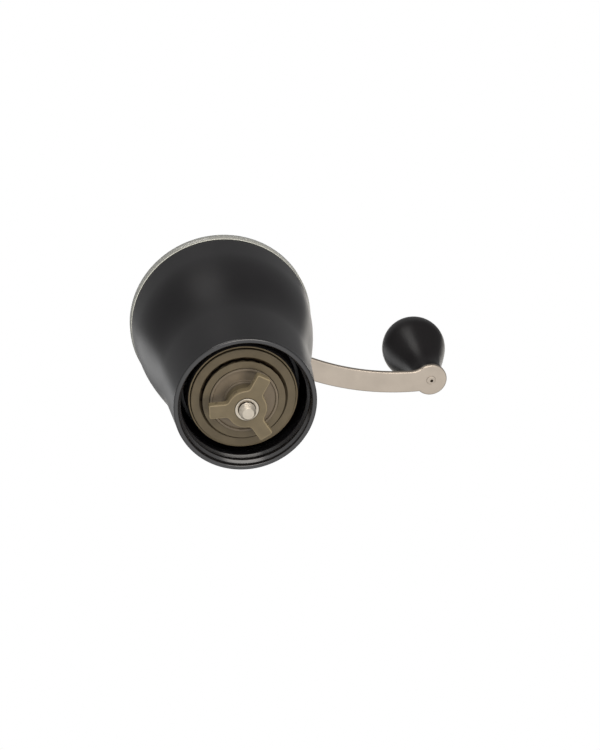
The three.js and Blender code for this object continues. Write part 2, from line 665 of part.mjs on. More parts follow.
// Flanged bush in the shaft support
function shaftBush() {
  const flangeTop = BUSH_Z + BUSH_FLANGE;
  return turned(
    [
      [BUSH_BORE, BUSH_Z],
      [BEARING_HUB_RADIUS, BUSH_Z],
      [BEARING_HUB_RADIUS, flangeTop],
      [BUSH_RADIUS, flangeTop],
      [BUSH_RADIUS, BEARING_TOP],
      [BUSH_BORE, BEARING_TOP],
    ],
    SMALL_SIDES,
  );
}

// Washer on the shaft
function washer(low) {
  return tube(SHAFT_RADIUS + FIT_GAP, WASHER_RADIUS, low, low + WASHER_THICKNESS, SMALL_SIDES);
}

// Open retaining clip in the shaft's groove
function retainingClip() {
  const opening = Math.PI / 5;
  const inner = SHAFT_RADIUS - CLIP_GROOVE_DEPTH + FIT_GAP;
  const shape = new THREE.Shape();
  shape.absarc(0, 0, CLIP_RADIUS, opening, 2 * Math.PI - opening, false);
  shape.absarc(0, 0, inner, 2 * Math.PI - opening, opening, true);
  return plate(shape, CLIP_Z, CLIP_Z + CLIP_THICKNESS, 0, CLIP_ARC_STEPS);
}

// Burr spring: one unbroken helix between the two spring washers
class SpringPath extends THREE.Curve {
  getPoint(t, target = new THREE.Vector3()) {
    const angle = 2 * Math.PI * SPRING_TURNS * t;
    const radius = SPRING_WIRE / 2;
    const z = lerp(SPRING_Z + radius, SPRING_Z + SPRING_LENGTH - radius, t);
    return target.set(SPRING_RADIUS * Math.cos(angle), SPRING_RADIUS * Math.sin(angle), z);
  }
}

function burrSpring() {
  const section = new THREE.Shape();
  for (let i = 0; i < SPRING_SIDES; i++) {
    const a = (2 * Math.PI * i) / SPRING_SIDES;
    const point = [(SPRING_WIRE / 2) * Math.cos(a), (SPRING_WIRE / 2) * Math.sin(a)];
    if (i === 0) section.moveTo(...point);
    else section.lineTo(...point);
  }
  const path = new SpringPath();
  const least = leastSelfGap(path);
  console.log(`burr spring: least gap to itself ${least.toFixed(2)} mm`);
  return new THREE.ExtrudeGeometry(section, {
    steps: SPRING_TURNS * SPRING_STEPS,
    extrudePath: path,
    bevelEnabled: false,
  });
}

// Least gap between stretches of the wire that are more than half a turn apart
function leastSelfGap(path) {
  const halfTurn = 20;
  const count = 2 * halfTurn * SPRING_TURNS;
  const points = Array.from({ length: count + 1 }, (_, i) => path.getPoint(i / count));
  let least = Infinity;
  for (let i = 0; i < points.length; i++) {
    for (let j = i + halfTurn; j < points.length; j++) {
      least = Math.min(least, points[i].distanceTo(points[j]) - SPRING_WIRE);
    }
  }
  return least;
}

// Clear lid: band over the hopper's edge, spigot inside its mouth, gently raised middle
function clearLid() {
  const foot = bellRadius(BODY_HEIGHT);
  const spigot = wallRadius(BODY_HEIGHT) - LID_SPIGOT_GAP;
  const spigotInner = spigot - LID_WALL;
  const underside = LID_EDGE_TOP - LID_WALL;
  const bend = lerp(LID_RADIUS, LID_HOLE_RADIUS, LID_BEND[0]);
  const bendRise = LID_RISE * LID_BEND[1];
  return turned(
    [
      [spigot, LID_Z],
      [foot, LID_Z],
      [LID_RADIUS, LID_Z + LID_OVERHANG_RISE],
      [LID_RADIUS, LID_EDGE_TOP - LID_EDGE_ROUND],
      [LID_RADIUS - LID_EDGE_ROUND, LID_EDGE_TOP],
      [bend, LID_EDGE_TOP + bendRise],
      [LID_HOLE_RADIUS, LID_MIDDLE_TOP],
      [LID_HOLE_RADIUS, LID_MIDDLE_TOP - LID_WALL],
      [bend, underside + bendRise],
      [spigotInner, underside],
      [spigotInner, LID_Z - LID_SPIGOT_DEPTH],
      [spigot, LID_Z - LID_SPIGOT_DEPTH],
    ],
    LARGE_SIDES,
  );
}

// Grommet that lines the lid's hole round the shaft
function lidGrommet() {
  const bore = SHAFT_RADIUS + SEAT_GAP;
  const groove = LID_HOLE_RADIUS - FIT_GAP;
  const top = LID_MIDDLE_TOP + FIT_GAP;
  const bottom = LID_MIDDLE_TOP - LID_WALL - FIT_GAP;
  return turned(
    [
      [bore, bottom - GROMMET_LIP],
      [GROMMET_RADIUS, bottom - GROMMET_LIP],
      [GROMMET_RADIUS, bottom - FIT_GAP],
      [groove, bottom - FIT_GAP],
      [groove, top],
      [GROMMET_RADIUS, top],
      [GROMMET_RADIUS - GROMMET_CHAMFER, top + GROMMET_LIP],
      [bore, top + GROMMET_LIP],
    ],
    SMALL_SIDES,
  );
}

// Where two circles meet, on the left of the line from the first centre to the second
function meet(c1, r1, c2, r2) {
  const unit = c2.clone().sub(c1);
  const distance = unit.length();
  unit.normalize();
  const along = (r1 * r1 - r2 * r2 + distance * distance) / (2 * distance);
  const across = Math.sqrt(r1 * r1 - along * along);
  const left = new THREE.Vector2(-unit.y, unit.x);
  return c1.clone().addScaledVector(unit, along).addScaledVector(left, across);
}

const bearing = (from, to) => Math.atan2(to.y - from.y, to.x - from.x);

// Outline of the crank strap seen from above: a bow with a round eye at each end. A fillet blends
// each eye into the bow's hollow edge, and its full edge meets each eye in a small notch.
function crankOutline() {
  const bowRadius = (CRANK_LENGTH ** 2 / 4 + CRANK_BOW ** 2) / (2 * CRANK_BOW);
  const bow = new THREE.Vector2(CRANK_LENGTH / 2, CRANK_BOW - bowRadius);
  const hub = new THREE.Vector2(0, 0);
  const eye = new THREE.Vector2(CRANK_LENGTH, 0);
  const full = bowRadius + STRAP_WIDTH / 2;
  const hollow = bowRadius - STRAP_WIDTH / 2;
  const hubNotch = meet(hub, CRANK_HUB_RADIUS, bow, full);
  const eyeNotch = meet(bow, full, eye, CRANK_EYE_RADIUS);
  const hubFillet = meet(hub, CRANK_HUB_RADIUS + CRANK_FILLET, bow, hollow - CRANK_FILLET);
  const eyeFillet = meet(bow, hollow - CRANK_FILLET, eye, CRANK_EYE_RADIUS + CRANK_FILLET);
  const shape = new THREE.Shape();
  const arc = (centre, radius, start, end, clockwise) =>
    shape.absarc(centre.x, centre.y, radius, start, end, clockwise);
  arc(bow, full, bearing(bow, hubNotch), bearing(bow, eyeNotch), true);
  arc(eye, CRANK_EYE_RADIUS, bearing(eye, eyeNotch), bearing(eye, eyeFillet), true);
  arc(eyeFillet, CRANK_FILLET, bearing(eyeFillet, eye), bearing(bow, eyeFillet), false);
  arc(bow, hollow, bearing(bow, eyeFillet), bearing(bow, hubFillet), false);
  arc(hubFillet, CRANK_FILLET, bearing(bow, hubFillet), bearing(hubFillet, hub), false);
  arc(hub, CRANK_HUB_RADIUS, bearing(hub, hubFillet), bearing(hub, hubNotch), true);
  return shape;
}

// Crank strap with a square hole for the shaft and a round one for the grip's rivet
function crankArm() {
  const shape = crankOutline();
  const half = SQUARE / 2 + FIT_GAP;
  const square = new THREE.Path();
  square.moveTo(-half, -half).lineTo(half, -half).lineTo(half, half).lineTo(-half, half);
  square.closePath();
  const round = new THREE.Path();
  round.absarc(CRANK_LENGTH, 0, RIVET_RADIUS + FIT_GAP, 0, 2 * Math.PI, false);
  shape.holes.push(square, round);
  return plate(shape, CRANK_Z, CRANK_TOP, STRAP_ROUND, CRANK_ARC_STEPS);
}

// Domed cap nut on the shaft's stud
function capNut() {
  const corner = NUT_ACROSS_FLATS / 2 / Math.cos(Math.PI / 6);
  const hexTop = NUT_Z + NUT_HEX_HEIGHT;
  const hexagon = new THREE.CylinderGeometry(corner, corner, NUT_HEX_HEIGHT, 6);
  hexagon.rotateX(Math.PI / 2).translate(0, 0, NUT_Z + NUT_HEX_HEIGHT / 2);
  const domeFoot = hexTop - OVERLAP;
  const profile = [[0, domeFoot], [NUT_DOME_RADIUS, domeFoot]];
  const steps = 4;
  for (let i = 0; i <= steps; i++) {
    const a = (i / steps) * (Math.PI / 2);
    profile.push([NUT_DOME_RADIUS * Math.cos(a), hexTop + NUT_DOME_RADIUS * Math.sin(a)]);
  }
  const bore = rod(STUD_RADIUS + FIT_GAP, NUT_Z - OVERLAP, STUD_TOP + SEAT_GAP, SMALL_SIDES);
  return cut(join(hexagon, turned(profile, SMALL_SIDES)), bore);
}

// Grip axle: riveted through the strap's eye, shouldered on it, with a head inside the grip
function gripAxle() {
  const end = CRANK_Z - RIVET_PROUD;
  return turned(
    [
      [0, end + RIVET_DIMPLE],
      [RIVET_DIMPLE, end],
      [RIVET_RADIUS - RIVET_PROUD, end],
      [RIVET_RADIUS, CRANK_Z],
      [RIVET_RADIUS, AXLE_SHOULDER_Z],
      [AXLE_RADIUS, AXLE_SHOULDER_Z],
      [AXLE_RADIUS, AXLE_HEAD_Z],
      [AXLE_HEAD_RADIUS, AXLE_HEAD_Z],
      [AXLE_HEAD_RADIUS, AXLE_HEAD_Z + AXLE_HEAD_HEIGHT],
      [0, AXLE_HEAD_Z + AXLE_HEAD_HEIGHT],
    ],
    SMALL_SIDES,
  );
}

// Washer between the strap and the grip
function gripWasher() {
  const top = GRIP_WASHER_Z + WASHER_THICKNESS;
  return tube(AXLE_RADIUS + FIT_GAP, GRIP_WASHER_RADIUS, GRIP_WASHER_Z, top, SMALL_SIDES);
}

// Height of the grip's ball above a point at some radius from its axis
const ballTop = (radius) => GRIP_BALL_Z + Math.sqrt(GRIP_BALL_RADIUS ** 2 - radius ** 2);
const CAP_BOTTOM = ballTop(GRIP_CAP_RADIUS) - GRIP_CAP_DEPTH;

// Grip: ball on a taper that touches it, bored for its bush and closed by a cap on top
function gripKnob() {
  const capBore = GRIP_CAP_RADIUS + FIT_GAP;
  const tangent = -GRIP_TAPER;
  const open = Math.acos(capBore / GRIP_BALL_RADIUS);
  const touchZ = GRIP_BALL_Z + GRIP_BALL_RADIUS * Math.sin(tangent);
  const touchRadius = GRIP_BALL_RADIUS * Math.cos(tangent);
  const foot = touchRadius - (touchZ - GRIP_Z) * Math.tan(GRIP_TAPER);
  const profile = [
    [GRIP_BUSH_RADIUS + FIT_GAP, GRIP_Z],
    [foot - GRIP_FOOT_ROUND, GRIP_Z],
    [foot, GRIP_Z + GRIP_FOOT_ROUND],
  ];
  const steps = 9;
  for (let i = 0; i <= steps; i++) {
    const a = lerp(tangent, open, i / steps);
    profile.push([GRIP_BALL_RADIUS * Math.cos(a), GRIP_BALL_Z + GRIP_BALL_RADIUS * Math.sin(a)]);
  }
  profile.push([capBore, CAP_BOTTOM - SEAT_GAP]);
  profile.push([AXLE_HEAD_RADIUS + SEAT_GAP, CAP_BOTTOM - SEAT_GAP]);
  profile.push([AXLE_HEAD_RADIUS + SEAT_GAP, GRIP_BUSH_TOP]);
  profile.push([GRIP_BUSH_RADIUS + FIT_GAP, GRIP_BUSH_TOP]);
  return turned(profile, MEDIUM_SIDES);
}

const gripBush = () =>
  tube(GRIP_BUSH_BORE, GRIP_BUSH_RADIUS, GRIP_Z, GRIP_BUSH_TOP, SMALL_SIDES);

// Cap that closes the grip flush with the ball
function gripCap() {
  const profile = [[0, CAP_BOTTOM], [GRIP_CAP_RADIUS, CAP_BOTTOM]];
  const steps = 3;
  for (let i = 0; i <= steps; i++) {
    const radius = GRIP_CAP_RADIUS * (1 - i / steps);
    profile.push([radius, ballTop(radius)]);
  }
  return turned(profile, SMALL_SIDES);
}

// Ring that holds the inner burr on its carrier
function burrRetainer() {
  const bore = CARRIER_NECK_RADIUS + FIT_GAP;
  return tube(bore, RETAINER_RADIUS, RETAINER_Z, RETAINER_Z + RETAINER_HEIGHT, SMALL_SIDES);
}

// Finishes
const finish = (color, roughness, metalness, opacity = 1) =>
  new THREE.MeshStandardMaterial({ color, roughness, metalness, opacity, transparent: opacity < 1 });
const BLACK_PLASTIC = finish(0x333032, 0.45, 0);
const OLIVE_PLASTIC = finish(0x766b58, 0.5, 0);
const OLIVE_CERAMIC = finish(0x6f6552, 0.55, 0);
const SMOKED_CLEAR = finish(0x8f9188, 0.12, 0, 0.4);
const SATIN_STEEL = finish(0xbdb0a2, 0.4, 0.85);
const BRIGHT_STEEL = finish(0xd8ccbc, 0.25, 1);
const NYLON = finish(0xd9d4c8, 0.5, 0);
const RUBBER = finish(0x242324, 0.8, 0);

function piece(name, geometry, material, x = 0) {
  const mesh = new THREE.Mesh(geometry, material);
  mesh.name = name;
  mesh.position.x = x;
  return mesh;
}

// What stands still
const still = new THREE.Group();
still.add(
  piece("hopper_body", hopperShell(), BLACK_PLASTIC),
  piece("hopper_floor", hopperFloor(), BLACK_PLASTIC),
  piece("burr_housing", burrHousing(), OLIVE_PLASTIC),
  piece("outer_burr", outerBurr(), OLIVE_CERAMIC),
  piece("shaft_support", shaftSupport(), BLACK_PLASTIC),
  piece("shaft_bush", shaftBush(), NYLON),
);

// What lifts off
const lid = new THREE.Group();
lid.add(
  piece("clear_lid", clearLid(), SMOKED_CLEAR),
  piece("lid_grommet", lidGrommet(), RUBBER),
);

// What slides along the shaft while it turns with it
const carriage = new THREE.Group();
carriage.add(
  piece("burr_carrier", burrCarrier(), OLIVE_PLASTIC),
  piece("inner_burr", innerBurr(), OLIVE_CERAMIC),
  piece("burr_retainer", burrRetainer(), BRIGHT_STEEL),
  piece("lower_spring_washer", washer(LOWER_WASHER_Z), BRIGHT_STEEL),
  piece("burr_spring", burrSpring(), BRIGHT_STEEL),
);

// What is turned by hand to set the grind
const adjuster = new THREE.Group();
adjuster.add(
  piece("adjusting_knob", adjustingKnob(), OLIVE_PLASTIC),
  piece("adjusting_insert", adjustingInsert(), BRIGHT_STEEL),
);
carriage.add(adjuster);

// What turns on the grip's axle
const grip = new THREE.Group();
grip.position.x = CRANK_LENGTH;
grip.add(
  piece("grip_knob", gripKnob(), BLACK_PLASTIC),
  piece("grip_bush", gripBush(), NYLON),
  piece("grip_cap", gripCap(), BLACK_PLASTIC),
);

// What turns with the crank
const drive = new THREE.Group();
drive.add(
  piece("drive_shaft", driveShaft(), BRIGHT_STEEL),
  piece("upper_spring_washer", washer(UPPER_WASHER_Z), BRIGHT_STEEL),
  piece("thrust_washer", washer(THRUST_WASHER_Z), NYLON),
  piece("clip_washer", washer(CLIP_WASHER_Z), BRIGHT_STEEL),
  piece("retaining_clip", retainingClip(), BRIGHT_STEEL),
  piece("crank_arm", crankArm(), SATIN_STEEL),
  piece("crank_washer", washer(CRANK_WASHER_Z), BRIGHT_STEEL),
  piece("cap_nut", capNut(), BRIGHT_STEEL),
  piece("grip_axle", gripAxle(), SATIN_STEEL, CRANK_LENGTH),
  piece("grip_washer", gripWasher(), NYLON, CRANK_LENGTH),
);
drive.add(carriage, grip);

const mill = new THREE.Group();
mill.add(still, lid, drive);
export default mill;
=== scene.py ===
"""Looks of a hand coffee mill's head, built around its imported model.

Every size is in millimetres in the part's frame: +Z up, the origin in the middle of the neck's
rim, and the crank along +X. Blender's own units are metres.
"""
import math

import bmesh
import bpy
from bpy.props import FloatProperty, FloatVectorProperty, IntProperty, PointerProperty
from mathutils import Matrix, Vector
from mathutils.geometry import tessellate_polygon


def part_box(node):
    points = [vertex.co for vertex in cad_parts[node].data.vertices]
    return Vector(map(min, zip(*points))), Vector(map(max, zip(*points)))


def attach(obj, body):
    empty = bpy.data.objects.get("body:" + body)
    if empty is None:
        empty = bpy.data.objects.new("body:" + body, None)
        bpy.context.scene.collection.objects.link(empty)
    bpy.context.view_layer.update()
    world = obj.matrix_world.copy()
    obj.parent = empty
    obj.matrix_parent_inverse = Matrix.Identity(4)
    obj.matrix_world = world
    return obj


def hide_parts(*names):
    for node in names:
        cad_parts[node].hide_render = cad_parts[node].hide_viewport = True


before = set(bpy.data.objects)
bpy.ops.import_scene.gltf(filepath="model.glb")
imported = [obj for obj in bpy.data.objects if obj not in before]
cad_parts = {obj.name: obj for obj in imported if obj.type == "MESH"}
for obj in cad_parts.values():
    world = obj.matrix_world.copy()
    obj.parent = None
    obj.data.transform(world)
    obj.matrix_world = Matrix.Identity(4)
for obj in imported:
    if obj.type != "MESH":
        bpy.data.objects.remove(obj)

bl_info = {
    "name": "Hand coffee mill",
    "version": (1, 0, 0),
    "blender": (4, 5, 0),
    "location": "View3D > Sidebar > Mill",
    "description": "Builds the head of a hand coffee mill around its packed model",
    "category": "Add Mesh",
}

MM = 0.001
FULL_TURN = 2 * math.pi
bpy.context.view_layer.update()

# Sides of turned pieces
LARGE_SIDES = 192
MEDIUM_SIDES = 128
SMALL_SIDES = 72

# Clearances, as in the solids
SEAT_GAP = 0.3
RUN_GAP = 0.06
FIT_GAP = 0.15

# Hopper shell
BODY_HEIGHT = 98.4
NECK_RADIUS = 33.2
NECK_BORE_RADIUS = 31
NECK_BORE_DEPTH = 18
INNER_RIM_ROUND = 0.8
FLARE = 8.1
SWELL = 4.5
SWELL_FROM = 32
SWELL_TO = 82.4
BODY_WALL = 2.4
SHOULDER_WIDTH = 1.6
SHOULDER_DROP = 3.1

# Hopper floor, with the ledge that the shaft support stands on and the housing's collar
FLOOR_RIM = 2.8
FLOOR_WALL = 2.4
THROAT_RADIUS = 21.5
LEDGE_RADIUS = 30.6
LEDGE_INNER_RADIUS = 27.2
FUNNEL_SLOPE = 1.4
LEDGE_WALL = 1.4
LEDGE_THICKNESS = 2.8
COLLAR_WALL = 2
COLLAR_DROP = 6.6

# Name of the measure, from 0 to 1, of how much painted highlight a plate's edge gets
PAINTED_EDGE_LIGHT = "rubbed"

# Burr set
INNER_BURR_HEIGHT = 19.7
INNER_BURR_RADIUS = 19.35
INNER_BURR_TOP_RADIUS = 11.4
OUTER_BURR_RADIUS = 24.6
MOUTH_RADIUS = 20.75
BURR_GAP = 0.3
LAND_GAP = 0.15
LAND_RIDGE = 0.45
FEED_GAP = 2
FEED_MOUTH = 3
BURR_TEETH = 24
BURR_FLUTES = 6
TOOTH_DEPTH = 0.5
FLUTE_DEPTH = 2.1
BURR_TWIST = 2
HOUSING_LIP = 0.65
HOUSING_CHAMFER = 1.2
HOUSING_ROOF = 1.6

# The inner burr's cone, as (share of its height, share of the way to its top radius)
BURR_CONE = [(0, 0), (0.04, 0), (0.2, 0.09), (0.46, 0.32), (0.75, 0.66), (1, 1)]

# Burr carrier
CARRIER_BOSS_RADIUS = 9.8
CARRIER_HUB_RADIUS = 9
CARRIER_STEM_RADIUS = 7
CARRIER_BOSS_DROP = 0.6
CARRIER_CUP_DEPTH = 0.9
CARRIER_THICKNESS = 3.6
CARRIER_BELOW_BURR = 0.7
CARRIER_FIT = 0.22

# Heights between which painted shade darkens the burrs deep in their gap, and the brown that it
# multiplies into their colour
GAP_SHADE_FROM = 8.5
GAP_SHADE_TO = 10
GAP_SHADE_BROWN = "#7a6650"

# Where painted shade blackens the shaft's thread and its sleeve, inside the sleeve's bore: middle
# height, reach from it, colour
SLEEVE_SHADE_MIDDLE = 4
SLEEVE_SHADE_REACH = 8.2
SLEEVE_SHADE_BLACK = "#2c241c"

# Adjusting knob
WINGS = 3
FIRST_WING = math.radians(36.8)
WING_TIP_RADIUS = 17.4
KNOB_HUB_RADIUS = 9.3
KNOB_REAR_RADIUS = 9.2
KNOB_PLATE = 4.2
CLICK_RIBS = 9
CLICK_RIB_PLACE = 7.4
CLICK_RIB_RISE = 0.5
NUB_PLACE = 13.6
NUB_RISE = 1.9
SLEEVE_GROOVE = 0.45

# Drive
THREAD_RADIUS = 3.9
SHAFT_RADIUS = 4
FLATS_APART = 6.6
FLATS_ABOVE_SLEEVE = 1.2
SHAFT_THREAD_PITCH = 1.25
SHAFT_THREAD_TOP = 4.0
THREAD_STEP = 0.11
STUD_RADIUS = 2.9
CLIP_GROOVE = 0.6
SQUARE_HALF = 3.0

# Softened edges of a stamped washer: lower inside and outside, upper outside and inside
WASHER_ROUNDS = (0.1, 0.25, 0.12, 0.2)

# Lid, with heights above the hopper
LID_TOP = 5.2
LID_WALL = 2
LID_HOLE_RADIUS = 6.2
LID_FOOT_SLOPE = 1.2
LID_LIT_BAND_TO = 3.1
LID_BEND_RISE = 1.5

# Crank and its nut
CRANK_LENGTH = 122.7
STRAP_BOW = 14.2
STRAP_WIDTH = 12
SHAFT_EYE_RADIUS = 9.6
GRIP_EYE_RADIUS = 8.8
EYE_FILLET = 9
RIVET_HOLE_RADIUS = 2.45
NUT_HALF_FLATS = 5.0
NUT_HEX_HEIGHT = 5
NUT_CHAMFER = 0.45
NUT_DOME_RADIUS = 4.7

# Grip. Its taper under the ball is given as (radius, depth below the ball's centre)
GRIP_RADIUS = 17.6
GRIP_CENTRE_RISE = 44
GRIP_TAPER_END = 4
GRIP_CAP_RADIUS = 6
GRIP_BUSH_WALL = 1
AXLE_RADIUS = 3
AXLE_HEAD = 1.8
AXLE_HEAD_ROOM = 4.8
RIVET_RADIUS = 2.3
PIT_DEPTH = 3.8
PIT_ASIDE = (0.5, 0.22)
GRIP_TAPER = [(7.0, 45.8), (7.4, 41), (8.0, 36.5), (8.6, 32.2), (9.5, 28), (10.8, 23.5),
              (12.5, 18.5), (14.4, 13), (16.0, 8.2), (17.14, 4), (17.6, 0)]

# Camera and room
CAMERA_PLACE = Vector((-204.83, -282.60, -698.95))
CAMERA_AHEAD = Vector((0.28652, 0.33455, 0.89776)).normalized()
CAMERA_RIGHT = CAMERA_AHEAD.cross(Vector((-0.27713, -0.86805, 0.41193))).normalized()
CAMERA_UP = CAMERA_RIGHT.cross(CAMERA_AHEAD).normalized()
CAMERA_LENS = 81.6
STAGE_MIDDLE = Vector((30, 0, 50))
FLOOR_RADIUS = 1600
EVEN_LIGHT = 0.5

# The room as gloss shows it: (height of a direction, from -1 to 1, and the light from there)
ROOM_LIGHT = [(-1, 1), (-0.7, 1), (-0.45, 0.7), (0.15, 0.5), (0.45, 0.06), (0.7, 0.05),
              (0.84, 0.3), (1, 0.3)]

# Lamps: direction from the stage's middle, distance and size in metres, power in watts, tint,
# and whether gloss shows the lamp. One that it doesn't show leaves no bright square
LAMPS = {
    "key": (CAMERA_RIGHT * 0.5 - CAMERA_UP * 0.4 - CAMERA_AHEAD, 0.95, (0.3, 0.3), 2.9,
            "#fff6ec", False),
    "fill": (Vector((-0.2, -0.72, -0.66)), 1.1, (0.8, 0.55), 4.4, "#fff9f2", True),
    "side": (Vector((-0.6, -0.71, 0.36)), 1.1, (0.5, 0.42), 2.0, "#fffdfa", True),
    "left": (Vector((-0.36, 0.6, 0.7)), 1.1, (0.5, 0.4), 0.65, "#ffffff", True),
    "over": (Vector((0.42, 0.3, 0.85)), 1.1, (0.9, 0.45), 1.7, "#fffaf2", True),
    "top": (Vector((0.1, -0.15, 1)), 1.2, (0.9, 0.9), 4.6, "#ffffff", False),
}

# Each piece: the body that it rides on, its slot, its finish and the CAD nodes it stands for
PIECES = {
    "hopper_shell": ("body", "black_plastic", "black", ["hopper_body"]),
    "neck_thread": ("body", "black_plastic", "neck", []),
    "hopper_funnel": ("body", "black_plastic", "black", ["hopper_floor"]),
    "burr_housing_ring": ("body", "olive_plastic", "olive", ["burr_housing"]),
    "outer_burr_ring": ("body", "olive_ceramic", "ceramic", ["outer_burr"]),
    "inner_burr_cone": ("burr_carriage", "olive_ceramic", "ceramic", ["inner_burr"]),
    "burr_carrier_disc": ("burr_carriage", "olive_plastic", "cup", ["burr_carrier"]),
    "burr_retainer_ring": ("burr_carriage", "bright_steel", "bright", ["burr_retainer"]),
    "adjusting_wing_knob": ("adjuster", "olive_plastic", "olive", ["adjusting_knob"]),
    "adjusting_sleeve": ("adjuster", "bright_steel", "oily", ["adjusting_insert"]),
    "drive_spindle": ("drive", "bright_steel", "oily", ["drive_shaft"]),
    "spring_seat": ("burr_carriage", "bright_steel", "bright", ["lower_spring_washer"]),
    "spring_stop": ("drive", "bright_steel", "bright", ["upper_spring_washer"]),
    "thrust_ring": ("drive", "nylon", "nylon", ["thrust_washer"]),
    "clip_seat": ("drive", "bright_steel", "bright", ["clip_washer"]),
    "clip_ring": ("drive", "bright_steel", "bright", ["retaining_clip"]),
    "flanged_bush": ("body", "nylon", "nylon", ["shaft_bush"]),
    "lid_dish": ("lid", "smoked_clear", "clear", ["clear_lid"]),
    "lid_ring": ("lid", "rubber", "rubber", ["lid_grommet"]),
    "crank_strap": ("drive", "satin_steel", "satin", ["crank_arm"]),
    "nut_washer": ("drive", "bright_steel", "bright", ["crank_washer"]),
    "domed_nut": ("drive", "bright_steel", "bright", ["cap_nut"]),
    "grip_rivet_axle": ("drive", "satin_steel", "satin", ["grip_axle"]),
    "grip_bulb": ("grip", "black_plastic", "grip", ["grip_knob"]),
    "grip_plug": ("grip", "black_plastic", "grip", ["grip_cap"]),
    "grip_liner": ("grip", "nylon", "nylon", ["grip_bush"]),
    "grip_spacer": ("drive", "nylon", "nylon", ["grip_washer"]),
}


def span(node):
    """Outer radius, lowest and highest height of a CAD node, in mm, about its own middle."""
    low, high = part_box(node)
    return (high.y - low.y) / 2 / MM, low.z / MM, high.z / MM


def smoothstep(share):
    """A share from 0 to 1 that starts and ends gently."""
    share = min(max(share, 0), 1)
    return share * share * (3 - 2 * share)


def lerp(start, end, share):
    return start + (end - start) * share


def bell_radius(height):
    """Outer radius of the hopper at a height above its neck rim."""
    swell = SWELL * smoothstep((height - SWELL_FROM) / (SWELL_TO - SWELL_FROM))
    return NECK_RADIUS + FLARE * height / BODY_HEIGHT + swell


def wall_radius(height):
    """Inner radius of the hopper at a height above its neck rim."""
    return bell_radius(height) - BODY_WALL


# Colours and materials

def linear(code):
    """Linear colour of an sRGB hex code."""
    parts = [int(code[i:i + 2], 16) / 255 for i in (1, 3, 5)]
    return [c / 12.92 if c <= 0.04045 else ((c + 0.055) / 1.055) ** 2.4 for c in parts]


def opaque(colour, gain=1.0):
    """A colour as four numbers, lightened or darkened by a gain."""
    return (*[min(channel * gain, 1) for channel in colour], 1)


def per_mm(size):
    """Scale of a noise whose grains are this many millimetres across."""
    return 1 / (size * MM)


def lines_scale(spacing):
    """Scale of a wave texture whose lines are this many millimetres apart."""
    return FULL_TURN / 20 / (spacing * MM)


def add_node(owner, kind, inputs=None, settings=None, stops=()):
    """Adds a node to a material or world. Each input gets a value, or is linked to the socket
    given for it. A ramp gets its stops, in order, as (place, colour)."""
    made = owner.node_tree.nodes.new(kind)
    for name, value in (settings or {}).items():
        setattr(made, name, value)
    for name, value in (inputs or {}).items():
        socket = made.inputs[name]
        if isinstance(value, bpy.types.NodeSocket):
            owner.node_tree.links.new(value, socket)
        else:
            socket.default_value = value
    for k, (place, colour) in enumerate(stops):
        elements = made.color_ramp.elements
        stop = elements[k] if k < 2 else elements.new(place)
        stop.position = place
        stop.color = colour
    return made


def new_material(name):
    """An empty material and the socket with its object's coordinates."""
    material = bpy.data.materials.new(name)
    material.use_nodes = True
    material.node_tree.nodes.clear()
    return material, add_node(material, "ShaderNodeTexCoord").outputs["Object"]


def clouded(name, colour, size, detail, dark, light):
    """A material whose colour drifts from a dark to a light gain in clouds some mm across. Comes
    with the sockets of its object's coordinates, its clouds and its colour."""
    material, place = new_material(name)
    clouds = add_node(material, "ShaderNodeTexNoise",
                      {"Vector": place, "Scale": per_mm(size), "Detail": detail}).outputs["Fac"]
    base = add_node(material, "ShaderNodeValToRGB", {"Fac": clouds},
                    stops=[(0.3, opaque(colour, dark)), (0.7, opaque(colour, light))])
    return material, place, clouds, base.outputs["Color"]


def finished(material, inputs, rough=None, dents=None):
    """Ends a material with its shader. Rough is (pattern, least, most roughness), and dents are
    (pattern, strength, depth in mm)."""
    if rough:
        pattern, least, most = rough
        ranged = add_node(material, "ShaderNodeMapRange",
                          {"Value": pattern, "To Min": least, "To Max": most})
        inputs["Roughness"] = ranged.outputs["Result"]
    if dents:
        pattern, strength, depth = dents
        bump = add_node(material, "ShaderNodeBump",
                        {"Height": pattern, "Strength": strength, "Distance": depth * MM})
        inputs["Normal"] = bump.outputs["Normal"]
    shader = add_node(material, "ShaderNodeBsdfPrincipled", inputs)
    add_node(material, "ShaderNodeOutputMaterial", {"Surface": shader.outputs["BSDF"]})
    return material


def moulded_abs(colour, name="Moulded ABS, fine-blasted satin", shine=0.5, blur=0.29):
    """Black ABS from a fine-blasted mould: a satin skin of fine, soft grain that blurs
    reflections, with faint clouds where the melt flowed."""
    material, place, _, base = clouded(name, colour, 16, 3.0, 0.86, 1.16)
    # Spark grain is about 0.05 mm; it is drawn 0.35 mm wide so that it shows
    grain = add_node(material, "ShaderNodeTexNoise",
                     {"Vector": place, "Scale": per_mm(0.35), "Detail": 2.0}).outputs["Fac"]
    return finished(material, {"Base Color": base, "IOR": 1.52, "Specular IOR Level": shine},
                    rough=(grain, blur, blur + 0.1), dents=(grain, 0.3, 0.02))


def handled_abs(colour):
    """The same ABS on the grip, dulled by hands: it mirrors less, mostly at its edges."""
    return moulded_abs(colour, "Moulded ABS, dulled by handling", 0.35, 0.3)


def polished_abs(colour):
    """The same ABS where the mould is polished, in the neck and on its rim: its thread glints."""
    return moulded_abs(colour, "Moulded ABS, polished in the neck", 0.9, 0.18)


